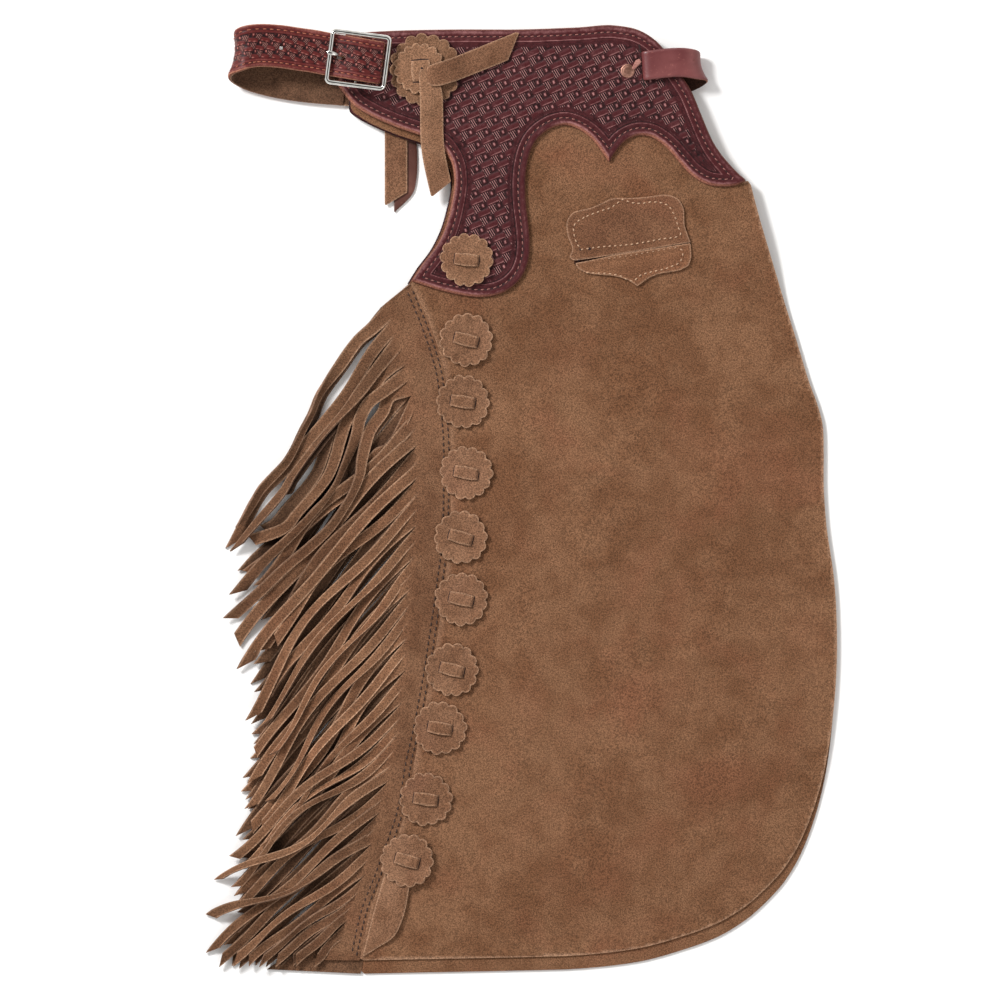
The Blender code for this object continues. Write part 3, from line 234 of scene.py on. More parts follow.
def smooth_leather(name, dark, light, scuff):
    look = Look(name)
    cloud = look.noise(26.0, 3.0, 0.8)
    colour = look.mix(look.between(cloud, 0.3, 0.7), dark, light)
    scratches = look.between(look.noise(210.0, 4.0, 2.0), 0.60, 0.74, 0.0, 0.5)
    colour = look.mix(scratches, colour, scuff)
    roughness = look.between(cloud, 0.2, 0.8, 0.36, 0.5)
    look.finish(colour, roughness, look.noise(1100.0), 0.25, 0.0003)


def thread(name, dark, light):
    """Twisted thread: its plies cross it at a slant."""
    look = Look(name)
    inputs = {"Vector": look.place, "Scale": 900.0, "Distortion": 0.6, "Detail": 1.0}
    plies = look.add("ShaderNodeTexWave", inputs, "Fac", bands_direction="DIAGONAL")
    tone = plies * 0.6 + look.noise(1500.0)
    look.finish(look.mix(look.between(tone, 0.4, 1.1), dark, light), 0.7, tone, 0.5, 0.0002)


def polished_metal(name, dark, light, roughness, wear, dents):
    look = Look(name)
    cloud = look.noise(160.0, 3.0)
    colour = look.mix(look.between(cloud, 0.3, 0.7), dark, light)
    rough = look.between(cloud, 0.2, 0.8, roughness, roughness + wear)
    look.finish(colour, rough, look.noise(1900.0, 2.0, 1.5), dents, 0.0002, {"Metallic": 1.0})


# Dark holes, slits and slots: painted shade where the leather opens
def dark_hole(name, dark, light):
    look = Look(name)
    look.finish(look.mix(look.noise(900.0), dark, light), 0.9, look.noise(1400.0), 0.3, 0.0003)


def plain(name, colour, roughness):
    look = Look(name)
    look.fill(look.shader, {"Base Color": srgb(*colour), "Roughness": roughness})


suede("suede", (108, 73, 50), (127, 91, 66), (127, 81, 59), (0.4, 0.2, 0.0))
suede("suede_fringe", (104, 71, 50), (126, 91, 67), (121, 80, 58), (3.0, 1.0, 0.0))
# A darker copy of the suede for the far fringe: painted shade where it lies under the near one
suede("far_suede_shaded", (88, 62, 44), (108, 78, 58), (98, 66, 48))
suede("rosette", (114, 80, 58), (136, 100, 76), (128, 88, 68))
suede("thong", (100, 68, 49), (122, 87, 65), (112, 75, 57))
suede("pocket", (104, 70, 50), (122, 86, 63), (120, 78, 58))
suede("pocket_lower", (115, 78, 55), (134, 95, 69), (132, 86, 64))
suede("lining", (76, 52, 39), (102, 74, 56), (90, 60, 46))
# A near-black suede: painted shade in the pocket's mouth and under the front strap's fold
suede("dark_lining", (38, 22, 17), (62, 38, 30), (56, 30, 26))
cut_edge("suede_edge", (128, 96, 74), (176, 142, 116))
cut_edge("strand_edge", (84, 60, 46), (140, 108, 88))
cut_edge("leather_edge", (114, 66, 52), (158, 106, 86))
# The ear's pale pink is a painted highlight
cut_edge("strap_ear", (146, 96, 88), (182, 132, 120))
stamped_leather(
    "stamped", (22, 5, 7), (70, 24, 27), (168, 116, 114), (120, 66, 52), (172, 116, 94),
)
stamped_leather(
    "belt", (22, 5, 8), (86, 28, 26), (172, 110, 100), (132, 76, 58), (180, 126, 100),
)
smooth_leather("strap", (98, 46, 47), (126, 68, 66), (154, 94, 86))
smooth_leather("far_thong", (78, 44, 36), (104, 64, 52), (120, 80, 64))
thread("yoke_thread", (84, 38, 36), (172, 114, 104))
thread("belt_thread", (112, 50, 36), (184, 112, 82))
thread("seam_thread", (36, 21, 14), (64, 41, 30))
thread("pocket_thread", (160, 122, 92), (214, 176, 144))
polished_metal("nickel", (206, 204, 198), (240, 239, 234), 0.05, 0.05, 0.01)
polished_metal("copper", (158, 112, 96), (196, 148, 130), 0.36, 0.2, 0.1)
dark_hole("hole", (28, 14, 13), (48, 26, 24))
plain("floor", (250, 249, 248), 0.9)


# Studio -----------------------------------------------------------------------------------------

# Brightness of the studio's lit walls and at its horizon
WORLD_ZENITH = 0.95
WORLD_HORIZON = 0.15
# The share of that light that is left straight above, where the camera hangs
WORLD_OVERHEAD = 0.12
# Place, size and watts: the key from the upper left, a weaker fill from the lower right
LAMPS = {
    "key": ((-3.0, 2.6, 2.8), 1.2, 250.0),
    "fill": ((2.6, -1.9, 3.8), 2.4, 20.0),
}
FRAME_WIDTH = 915.0
FRAME_CENTRE = (-20.6, -0.9)
CAMERA_HEIGHT = 8.0
SENSOR = 36.0
FLOOR_HALF = 6000.0
FLOOR_Z = -0.0004


def add_object(name, data, place=(0.0, 0.0, 0.0)):
    obj = bpy.data.objects.new(name, data)
    obj.location = place
    bpy.context.scene.collection.objects.link(obj)
    return obj


def make_camera():
    camera = bpy.data.cameras.new("camera")
    camera.sensor_width = SENSOR
    camera.lens = SENSOR * CAMERA_HEIGHT / (FRAME_WIDTH * MM)
    camera.clip_end = 50.0
    place = (FRAME_CENTRE[0] * MM, FRAME_CENTRE[1] * MM, CAMERA_HEIGHT)
    bpy.context.scene.camera = add_object("camera", camera, place)


def make_light():
    world = bpy.data.worlds.new("studio")
    world.use_nodes = True
    nodes = Nodes(world.node_tree)
    way = nodes.add("ShaderNodeTexCoord", output="Generated")
    upward = nodes.add("ShaderNodeSeparateXYZ", {0: way}, "Z")
    dome = nodes.between(upward, 0.0, 0.6, WORLD_HORIZON, WORLD_ZENITH)
    overhead = nodes.between(upward, 0.78, 0.92, 1.0, WORLD_OVERHEAD)
    inputs = {"Color": (1.0, 0.99, 0.98, 1.0), "Strength": dome * overhead}
    nodes.fill(nodes.tree.nodes["Background"], inputs)
    bpy.context.scene.world = world
    for name, (place, size, watts) in LAMPS.items():
        lamp = bpy.data.lights.new(name, "AREA")
        lamp.shape = "DISK"
        lamp.size = size
        lamp.energy = watts
        obj = add_object(name, lamp, place)
        obj.rotation_euler = (-obj.location).to_track_quat("-Z", "Y").to_euler()
    bpy.context.scene.view_settings.view_transform = "Standard"


def make_floor():
    corners = [(x * FLOOR_HALF, y * FLOOR_HALF, 0.0) for x, y in ((-1, -1), (1, -1), (1, 1), (-1, 1))]
    obj = make_object("floor", corners, [(0, 1, 2, 3)], "floor")
    obj.location.z = FLOOR_Z


# Lines ------------------------------------------------------------------------------------------


def eased(share):
    share = np.clip(share, 0.0, 1.0)
    return share * share * (3.0 - 2.0 * share)


def bell(value, middle, width):
    """1 at the middle, and down to 0 on both sides of it."""
    return np.exp(-(((value - middle) / width) ** 2))


def blend(first, second, share):
    return first * (1.0 - share) + second * share


def heading(degrees):
    turned = math.radians(degrees)
    return np.array((math.cos(turned), math.sin(turned)))


def unit(vectors):
    return vectors / np.maximum(np.linalg.norm(vectors, axis=-1, keepdims=True), 1e-9)


def ground(points, level, laid=True):
    """A level's height at points. A laid one rises with the leg, over the far yoke."""
    down = (points - RAMP_TOP) @ RAMP_DOWN
    return level + laid * LIFT * (1.0 - eased(down / RAMP_WIDTH))


def slipped(points):
    """Points of the near leg, moved to where the far leg has them."""
    levels = FAR_SLIPS[:, 0]
    place = np.clip(points[:, 1], levels[0], levels[-1])
    index = np.clip(np.searchsorted(levels, place) - 1, 0, len(levels) - 2)
    share = eased((place - levels[index]) / (levels[index + 1] - levels[index]))
    return points + blend(FAR_SLIPS[index, 1:], FAR_SLIPS[index + 1, 1:], share[:, None]) * (1.0, -1.0)


def hermite(t, start, out, end, into):
    return (
        (2 * t**3 - 3 * t**2 + 1) * start + (t**3 - 2 * t**2 + t) * out
        + (3 * t**2 - 2 * t**3) * end + (t**3 - t**2) * into
    )


def smooth_through(points, step, closed=False, corner=42.0):
    """Points about a step apart on a smooth line through some points, sharp at its corners."""
    points = np.asarray(points, float)
    before = np.roll(points, 1, axis=0)
    after = np.roll(points, -1, axis=0)
    cosine = (unit(points - before) * unit(after - points)).sum(1)
    sharp = np.degrees(np.arccos(np.clip(cosine, -1.0, 1.0))) > corner
    if not closed:
        sharp[0] = sharp[-1] = True
    tangent = unit(after - before)
    made = []
    for index in range(len(points) if closed else len(points) - 1):
        end = (index + 1) % len(points)
        chord = points[end] - points[index]
        length = np.linalg.norm(chord)
        out = chord if sharp[index] else tangent[index] * length
        into = chord if sharp[end] else tangent[end] * length
        count = max(1, round(length / step))
        t = np.arange(count)[:, None] / count
        made.append(hermite(t, points[index], out, points[end], into))
    if not closed:
        made.append(points[-1:])
    return np.vstack(made)


def travelled(points):
    steps = np.linalg.norm(np.diff(points, axis=0), axis=1)
    return np.concatenate([[0.0], np.cumsum(steps)])


def pick(table, along, distances):
    """The rows of a table at distances, where along has each row's own."""
    return np.stack([np.interp(distances, along, column) for column in table.T], 1)


def points_at(points, distances):
    return pick(points, travelled(points), distances)


def spaced(points, pitch):
    """Points of an open line a pitch apart, and its directions there."""
    length = travelled(points)[-1]
    places = np.arange(pitch / 2.0, length - pitch / 4.0, pitch)
    return points_at(points, places), unit(points_at(points, places + 0.5) - points_at(points, places - 0.5))


def windows(values, reach):
    """Each value's neighbours within a reach, one row for each place beside it."""
    padded = np.pad(values, reach, mode="edge")
    return [padded[k:k + len(values)] for k in range(2 * reach + 1)]


def circle(centre, radius, count=16):
    angle = np.linspace(0.0, FULL_TURN, count, endpoint=False)
    return np.stack([centre[0] + radius * np.cos(angle), centre[1] + radius * np.sin(angle)], 1)


def crossed(loop):
    """Twice a loop's area, above 0 where it turns left."""
    x, y = loop.T
    return (x * np.roll(y, -1) - y * np.roll(x, -1)).sum()


# Outlines and faces -----------------------------------------------------------------------------


def open_sides(faces):
    """The sides of faces that no other face shares."""
    sides = {}
    for face in faces:
        for a, b in zip(face, face[1:] + face[:1]):
            if (b, a) in sides:
                del sides[(b, a)]
            else:
                sides[(a, b)] = True
    return list(sides)


def loops_of(sides):
    following = dict(sides)
    loops = []
    while following:
        start, point = following.popitem()
        loop = [start]
        while point != start:
            loop.append(point)
            point = following.pop(point)
        loops.append(loop)
    return loops


def node_outlines(node):
    """The outlines of a sheet's underside, the longest first, as its CAD node has them."""
    mesh = bpy.data.objects[node].data
    flat = [tuple(round(c / MM, 2) for c in vertex.co[:2]) for vertex in mesh.vertices]
    lower = [[flat[v] for v in face.vertices] for face in mesh.polygons if face.normal.z <= -0.5]
    loops = [np.array(loop) for loop in loops_of(open_sides(lower))]
    return sorted(loops, key=lambda loop: -np.ptp(loop, axis=0).sum())


def without_flat_points(loop, limit=0.6):
    """A loop without the points that lie on the straight between their neighbours."""
    kept = []
    for index in range(len(loop)):
        before = kept[-1] if kept else loop[index - 1]
        arriving = unit(loop[index] - before)
        leaving = unit(loop[(index + 1) % len(loop)] - loop[index])
        turn = abs(arriving[0] * leaving[1] - arriving[1] * leaving[0])
        if np.degrees(math.asin(min(turn, 1.0))) > limit or (arriving * leaving).sum() < 0.0:
            kept.append(loop[index])
    return np.array(kept)


def panel_outline(node, step):
    return smooth_through(without_flat_points(node_outlines(node)[0]), step, closed=True)


def distance_inside(points, loops):
    """How far each point is inside the loops' lines, and the direction to the nearest line."""
    starts = np.vstack(loops)
    side = np.vstack([np.roll(loop, -1, axis=0) for loop in loops]) - starts
    length2 = np.maximum((side**2).sum(1), 1e-12)
    slope = side[:, 0] / np.where(np.abs(side[:, 1]) < 1e-12, 1e-12, side[:, 1])
    distance = np.empty(len(points))
    outward = np.empty((len(points), 2))
    chunk = 8000
    for first in range(0, len(points), chunk):
        p = points[first:first + chunk]
        dx = p[:, 0, None] - starts[:, 0]
        dy = p[:, 1, None] - starts[:, 1]
        share = np.clip((dx * side[:, 0] + dy * side[:, 1]) / length2, 0.0, 1.0)
        gx = dx - share * side[:, 0]
        gy = dy - share * side[:, 1]
        nearest = (gx * gx + gy * gy).argmin(1)
        rows = np.arange(len(p))
        gap = np.stack([gx[rows, nearest], gy[rows, nearest]], 1)
        length = np.linalg.norm(gap, axis=1)
        above = starts[:, 1] > p[:, 1, None]
        crossing = above != (starts[:, 1] + side[:, 1] > p[:, 1, None])
        inside = (crossing & (dx < slope * dy)).sum(1) % 2 == 1
        sign = np.where(inside, 1.0, -1.0)
        distance[first:first + chunk] = length * sign
        outward[first:first + chunk] = -gap / np.maximum(length, 1e-9)[:, None] * sign[:, None]
    return distance, outward


Plan = namedtuple("Plan", "points faces rim inside outward")


def filled(loops, step):
    """A grid that fills the loops, its outer points on them."""
    low = np.vstack(loops).min(0) - 1.5 * step
    high = np.vstack(loops).max(0) + 1.5 * step
    columns, rows = ((high - low) / step).astype(int) + 2
    gx, gy = np.meshgrid(low[0] + step * np.arange(columns), low[1] + step * np.arange(rows))
    points = np.stack([gx.ravel(), gy.ravel()], 1)
    inside, outward = distance_inside(points, loops)
    near = np.abs(inside) < 0.38 * step
    points[near] += outward[near] * inside[near, None]
    inside[near] = 0.0
    corner = np.arange(rows * columns).reshape(rows, columns)
    ring = np.stack([corner[:-1, :-1], corner[:-1, 1:], corner[1:, 1:], corner[1:, :-1]], 2).reshape(-1, 4)
    values = inside[ring]
    whole = (values >= 0.0).all(1) & (values > 0.0).any(1)
    partly = ~whole & (values > 0.0).any(1)
    faces = ring[whole].tolist()
    extra = []
    crossing = {}
    for cell, cell_values in zip(ring[partly].tolist(), values[partly].tolist()):
        face = []
        for k in range(4):
            a, b = cell[k], cell[(k + 1) % 4]
            va, vb = cell_values[k], cell_values[(k + 1) % 4]
            if va >= 0.0:
                face.append(a)
            if va * vb < 0.0:
                key = (min(a, b), max(a, b))
                if key not in crossing:
                    crossing[key] = len(points) + len(extra)
                    extra.append(points[a] + (points[b] - points[a]) * (va / (va - vb)))
                face.append(crossing[key])
        if len(face) > 2:
            faces.append(face)
    if extra:
        points = np.vstack([points, extra])
        inside = np.concatenate([inside, np.zeros(len(extra))])
    used = np.unique(np.concatenate([np.asarray(face) for face in faces]))
    renamed = np.full(len(points), -1)
    renamed[used] = np.arange(len(used))
    faces = [renamed[face].tolist() for face in faces]
    points = points[used]
    return Plan(points, faces, open_sides(faces), inside[used], distance_inside(points, loops)[1])


def grid_faces(rows, columns, start=0):
    corners = [start + r * columns + c for r in range(rows - 1) for c in range(columns - 1)]
    return [(a, a + 1, a + columns + 1, a + columns) for a in corners]


def ring_faces(rings, sides, closed=False):
    """The faces of a tube of rings of points, with its two ends unless it is closed."""
    faces = []
    for ring in range(rings if closed else rings - 1):
        here, there = ring * sides, (ring + 1) % rings * sides
        for k in range(sides):
            after = (k + 1) % sides
            faces.append((here + k, here + after, there + after, there + k))
    if not closed:
        faces += [list(range(sides))[::-1], [(rings - 1) * sides + k for k in range(sides)]]
    return faces


# Objects ----------------------------------------------------------------------------------------


def make_object(name, points, faces, looks, slots=None):
    """An object from points in millimetres, in looks named with spaces. slots: each face's look."""
    mesh = bpy.data.meshes.new(name)
    mesh.from_pydata((np.asarray(points) * MM).tolist(), [], faces)
    for look in looks.split():
        mesh.materials.append(LOOKS[look])
    if slots is not None:
        mesh.polygons.foreach_set("material_index", np.asarray(slots, np.int32))
    mesh.polygons.foreach_set("use_smooth", np.full(len(faces), True))
    mesh.update()
    return add_object(name, mesh)


def give(obj, name, values):
    """A value for each point of the mesh that its material reads."""
    layer = obj.data.attributes.new(name, "FLOAT", "POINT")
    layer.data.foreach_set("value", np.asarray(values, np.float32))


def give_twice(obj, name, values):
    """A value for the points of a sheet's face, and the same ones for its back."""
    give(obj, name, np.concatenate([values, values]))


def pale_rim(obj, inside, reach=1.2):
    """Marks the face's outer edge, where the nap is worn pale, with a painted highlight."""
    give_twice(obj, "rim", np.clip(1.0 - inside / reach, 0.0, 1.0))


def sharp_rim(obj):
    """Keeps the cut edge's shading apart from the face's."""
    mesh = obj.data
    slot_of = {}
    sharp = np.zeros(len(mesh.edges), bool)
    keys = {tuple(sorted(key)): index for index, key in enumerate(mesh.edge_keys)}
    for face in mesh.polygons:
        for key in face.edge_keys:
            index = keys[tuple(sorted(key))]
            sharp[index] |= slot_of.setdefault(index, face.material_index) != face.material_index
            slot_of[index] = face.material_index
    layer = mesh.attributes.new("sharp_edge", "BOOLEAN", "EDGE")
    layer.data.foreach_set("value", sharp)


def in_plan(points, height):
    return np.column_stack([points, np.broadcast_to(height, len(points))])


def make_sheet(name, plan, top, bottom, looks, place=in_plan, mirrored=True):
    """A closed sheet of leather: its face, its back and its cut edge, in three looks."""
    count = len(plan.points)
    upper = place(plan.points, top)
    if mirrored:
        points = np.vstack([upper, place(plan.points, bottom)])
        backs = [[count + v for v in reversed(face)] for face in plan.faces]
        walls = [(b, a, count + a, count + b) for a, b in plan.rim]
        faces = plan.faces + backs + walls
        slots = [0] * len(plan.faces) + [1] * len(backs) + [2] * len(walls)
    else:
        # The hidden, flat back is one face on the outline
        outer = sorted({v for side in plan.rim for v in side})
        renamed = {v: count + k for k, v in enumerate(outer)}
        points = np.vstack([upper, place(plan.points[outer], bottom)])
        walls = [(b, a, renamed[a], renamed[b]) for a, b in plan.rim]
        longest = max(loops_of(plan.rim), key=len)
        faces = plan.faces + walls + [[renamed[v] for v in reversed(longest)]]
        slots = [0] * len(plan.faces) + [2] * len(walls) + [1]
    obj = make_object(name, points, faces, looks, slots)
    sharp_rim(obj)
    return obj


def make_shell(name, points, faces, thickness, looks, values=None):
    """A closed shell about an open surface, its cut edge in the second look."""
    values = values or {}
    bm = bmesh.new()
    layers = {key: bm.verts.layers.float.new(key) for key in values}
    verts = [bm.verts.new(point) for point in points]
    for key, layer in layers.items():
        for vert, value in zip(verts, values[key]):
            vert[layer] = value
    for face in faces:
        bm.faces.new([verts[k] for k in face])
    bmesh.ops.remove_doubles(bm, verts=bm.verts, dist=0.02)
    bmesh.ops.recalc_face_normals(bm, faces=bm.faces)
    if sum(face.normal.z for face in bm.faces) < 0.0:
        bmesh.ops.reverse_faces(bm, faces=bm.faces)
    bm.normal_update()
    bm.verts.index_update()
    middle = np.array([vert.co for vert in bm.verts])
    half = np.array([vert.normal for vert in bm.verts]) * thickness / 2.0
    upper = [[vert.index for vert in face.verts] for face in bm.faces]
    rim = []
    for edge in bm.edges:
        if edge.is_boundary:
            loop = edge.link_loops[0]
            rim.append((loop.vert.index, loop.link_loop_next.vert.index))
    kept = {key: [vert[layer] for vert in bm.verts] for key, layer in layers.items()}
    bm.free()
    count = len(middle)
    lower = [[count + v for v in reversed(face)] for face in upper]
    walls = [(b, a, count + a, count + b) for a, b in rim]
    slots = [0] * (len(upper) + len(lower)) + [1] * len(walls)
    obj = make_object(name, np.vstack([middle + half, middle - half]), upper + lower + walls, looks, slots)
    for key, column in kept.items():
        give_twice(obj, key, column)
    sharp_rim(obj)
    return obj


def fix_normals(obj):
    bm = bmesh.new()
    bm.from_mesh(obj.data)
    bmesh.ops.recalc_face_normals(bm, faces=bm.faces)
    bm.to_mesh(obj.data)
    bm.free()


def soft_noise(points, wavelength, seed, waves=26):
    """A smooth random field, about -1 to 1, made of waves in random directions."""
    rng = np.random.default_rng(seed)
    angle = rng.uniform(0.0, FULL_TURN, waves)
    number = FULL_TURN / (wavelength * rng.uniform(0.6, 1.7, waves))
    phase = rng.uniform(0.0, FULL_TURN, waves)
    sums = np.zeros(len(points))
    for a, k, p in zip(angle, number, phase):
        sums += np.sin(points[:, 0] * k * math.cos(a) + points[:, 1] * k * math.sin(a) + p)
    return np.clip(sums / math.sqrt(waves), -1.5, 1.5) / 1.5


def edge_drop(inside, reach, depth):
    """How much a sheet's face is lower towards its cut edge."""
    return depth * np.clip(1.0 - inside / reach, 0.0, 1.0) ** 2


def keep(obj, *nodes, slot="suede"):
    """The piece rides on the body and stands for its CAD nodes."""
    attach(obj, "root")
    if nodes:
        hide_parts(*nodes)
    return obj


# Stitches and holes -----------------------------------------------------------------------------

# A stitch one long, along +X: the place, size and height of its rings, its ends sunk
STITCH_END = (0.5, -0.35)
STITCH_RINGS = [(-0.36, 0.8, -0.05), (0.0, 1.0, 0.15), (0.36, 0.8, -0.05)]


def stitch_shape(sides=6):
    points = []
    for x, size, lift in STITCH_RINGS:
        ring = circle((0.0, lift), 0.5 * size, sides)
        points += [(x, *point) for point in ring]
    last = len(points)
    points += [(-STITCH_END[0], 0.0, STITCH_END[1]), (STITCH_END[0], 0.0, STITCH_END[1])]
    faces = [(a, d, c, b) for a, b, c, d in ring_faces(len(STITCH_RINGS), sides)[:-2]]
    end = last - sides
    for k in range(sides):
        after = (k + 1) % sides
        faces += [(last, k, after), (last + 1, end + after, end + k)]
    return np.array(points), faces


def make_stitches(name, places, along, upper, length, width, look):
    """One mesh of stitches at places in space, along and upper as directions there."""
    shape, shape_faces = stitch_shape()
    aside = unit(np.cross(upper, along))
    points, faces = [], []
    for index in range(len(places)):
        axes = np.stack([along[index] * length, aside[index] * width, upper[index] * width])
        faces += [[v + len(shape) * index for v in face] for face in shape_faces]
        points.append(places[index] + shape @ axes)
    keep(make_object(name, np.vstack(points), faces, look))


def make_holes(name, places, upper, radii, sides=8):
    """Shallow dark dimples where the thread goes in, their darkness painted shade."""
    points, faces = [], []
    for place, up, radius in zip(places, upper, np.broadcast_to(radii, len(places))):
        side = unit(np.cross(up, (1.0, 0.1, 0.0)))
        start = len(points)
        ring = circle((0.0, 0.0), radius, sides) @ np.stack([side, np.cross(up, side)])
        points += [place + up * 0.10, *(place + ring - up * 0.04)]
        faces += [(start, start + 1 + k, start + 1 + (k + 1) % sides) for k in range(sides)]
    keep(make_object(name, points, faces, "hole"))


def stitch_row(name, line, pitch, size, level, look, turn, laid=True, holes=None):
    """Stitches of a length and width along a line in plan, and holes of a radius between them."""
    middle, along = spaced(line, pitch)
    right, left = heading(turn), heading(turn + 90.0)
    turned = in_plan(np.outer(along[:, 0], right) + np.outer(along[:, 1], left), 0.0)
    upper = np.tile(UP, (len(middle), 1))
    make_stitches(name, in_plan(middle, ground(middle, level, laid)), turned, upper, *size, look)
    if holes:
        middle = middle + along * pitch / 2.0
        make_holes(name + "_holes", in_plan(middle, ground(middle, level, laid)), upper, holes)


# The legs ---------------------------------------------------------------------------------------

ON_LEG = NEAR_PANEL_LEVEL + SUEDE
LEG_LOOKS = "suede suede suede_edge"
# Soft ridges of the near leg: from, to, width and height
RIDGES = [
    (20.0, 150.0, -5.0, -10.0, 34.0, 0.9),
    (105.0, 120.0, 70.0, -60.0, 48.0, 1.1),
    (190.0, 90.0, 165.0, -130.0, 42.0, 1.0),
    (10.0, -80.0, -10.0, -260.0, 36.0, 0.9),
    (95.0, -150.0, 60.0, -330.0, 52.0, 1.1),
    (215.0, -190.0, 150.0, -320.0, 40.0, 1.0),
]
SEAM_STITCH_PITCH = 5.9
SEAM_STITCH = (4.2, 1.3)
# The seam's double row: how far beside its line each row runs
SEAM_ROWS = [-2.4, 2.4]
SEAM_LINE = np.array([
    (-103.0, 190.3), (-89.2, 156.5), (-77.3, 119.0), (-72.7, 86.0), (-70.0, 53.1), (-70.0, -3.7),
    (-71.8, -44.8), (-75.5, -74.1), (-79.1, -100.7), (-82.8, -125.4), (-89.2, -166.5),
    (-98.4, -215.0), (-103.9, -238.8), (-112.1, -285.5), (-123.1, -318.4), (-133.1, -345.9),
    (-145.0, -377.0), (-154.2, -417.2),
])


def undulation(points):
    """Low, soft ridges where the leg doesn't lie quite flat."""
    height = np.zeros(len(points))
    for x0, y0, x1, y1, width, size in RIDGES:
        side = np.array((x1 - x0, y1 - y0))
        share = np.clip(((points - (x0, y0)) @ side) / (side @ side), 0.0, 1.0)
        gap = np.linalg.norm(points - (x0, y0) - share[:, None] * side, axis=1)
        height = np.maximum(height, size * bell(gap, 0.0, width))
    return height + 0.25 * (1.0 + soft_noise(points, 70.0, 5))


def held_flat(points, inside):
    """1 where the leg is free, and 0 by its edges and under what is sewn on it."""
    free = eased((inside - 4.0) / 30.0)
    for node in ("near_yoke", "pocket_upper", "pocket_lower"):
        free *= eased((-distance_inside(points, node_outlines(node)[:1])[0] - 1.0) / 22.0)
    for number in range(1, len(LEG_ROSETTES) + 1):
        centre = np.mean(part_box(f"leg_rosette_{number:02d}"), axis=0)[:2] / MM
        free *= eased((np.linalg.norm(points - centre, axis=1) - 27.0) / 18.0)
    return free


def make_legs():
    plan = filled([panel_outline("near_panel", 2.5)], 3.0)
    seam = smooth_through(SEAM, 4.0)
    from_seam = np.abs(distance_inside(plan.points, [np.vstack([seam, seam[::-1] + (0.01, 0.0)])])[0])
    at_seam = 1.0 - eased((from_seam - 2.0) / 6.0)
    ridge = 0.35 * bell(from_seam, 2.5, 2.2)
    wave = undulation(plan.points) * held_flat(plan.points, plan.inside)
    level = ground(plan.points, NEAR_PANEL_LEVEL) + wave
    drop = edge_drop(plan.inside, 2.0, 0.35) * (1.0 - at_seam)
    near = make_sheet("near_leg", plan, level + SUEDE - drop + ridge, level, LEG_LOOKS)
    # The cut edges are pale, less so by the seam, and the seam's ridge has a painted highlight
    rim = np.clip(1.0 - plan.inside / 1.4, 0.0, 1.0) * (1.0 - 0.6 * at_seam)
    give_twice(near, "rim", np.maximum(rim, 0.8 * ridge))
    # The leg is darker close below the yoke
    below = np.minimum(distance_inside(plan.points, [node_outlines("near_yoke")[0]])[0], 0.0)
    give_twice(near, "tone", -0.5 * bell(below, 0.0, 40.0))
    keep(near, "near_panel")
    plan = filled([panel_outline("far_panel", 2.5)], 5.0)
    level = ground(plan.points, FAR_PANEL_LEVEL)
    top = level + SUEDE - edge_drop(plan.inside, 2.0, 0.3)
    keep(make_sheet("far_leg", plan, top, level, LEG_LOOKS), "far_panel")
    line = smooth_through(SEAM_LINE, 2.0)
    along = unit(np.gradient(line, axis=0))
    aside = np.stack([-along[:, 1], along[:, 0]], 1)
    for number, beside in enumerate(SEAM_ROWS, start=1):
        stitch_row(
            f"seam_stitches_{number}", line + aside * beside, SEAM_STITCH_PITCH, SEAM_STITCH,
            ON_LEG + 0.42, "seam_thread", 5.0,
        )


# The stamped yokes ------------------------------------------------------------------------------

BORDER = 12.4
STITCH_LINE = 6.7
YOKE_STITCH_PITCH = 5.8
YOKE_STITCH = (3.7, 1.15)
# The width of the tan cut edge, and how much wider it is where it faces the lower back
TAN_EDGE = 1.2
TAN_EDGE_LIT = 1.9
TAN_FACING = (-0.72, -0.69)
# A stamp: where one of its prints is, the two steps to the next ones, the turn of its bars, size
Stamp = namedtuple("Stamp", "origin step down turn size")
YOKE_STAMP = Stamp((1.4, 388.1), (14.70, 0.23), (6.77, -11.07), 23.0, 1.0)
# Its parts at full size: place from the print's middle, and half length and width on its turn
Part = namedtuple("Part", "x y half_length half_width")
STAMP_PARTS = {
    "block": Part(0.0, 0.0, 3.9, 4.3),
    "bar": Part(7.0, -2.9, 6.9, 2.75),
    "facet": Part(5.7, 3.4, 1.2, 1.9),
}
TICK_PITCH = 1.9
TICK_TURN = 31.0


def part_relief(kind, part, u, v):
    """The shape, height and tone of a stamp's part at places along and across it."""
    end = 1.0 - np.abs(u) / part.half_length
    side = 1.0 - np.abs(v) / part.half_width
    if kind == "bar":
        shape = np.clip(end * 3.4, 0.0, 1.0) * np.sqrt(np.clip(side * 2.2, 0.0, 1.0))
        # lit: a painted highlight along the bar's lower edge
        lit = bell(v, 0.65 - part.half_width, 0.45) * np.clip(end * 3.0, 0.0, 1.0)
        return shape, -0.46 + 0.50 * shape, 0.16 + 0.40 * shape + 0.72 * lit
    if kind == "block":
        shape = np.clip(np.minimum(end, side) * 5.0, 0.0, 1.0)
        return shape, -0.50 + 0.30 * shape, 0.12 + 0.20 * shape
    # The facet is a painted highlight: far lighter than the rest, though no higher
    shape = np.clip(np.minimum(end, side) * 2.2, 0.0, 1.0)
    return shape, -0.30 + 0.30 * shape, 0.25 + 0.95 * shape


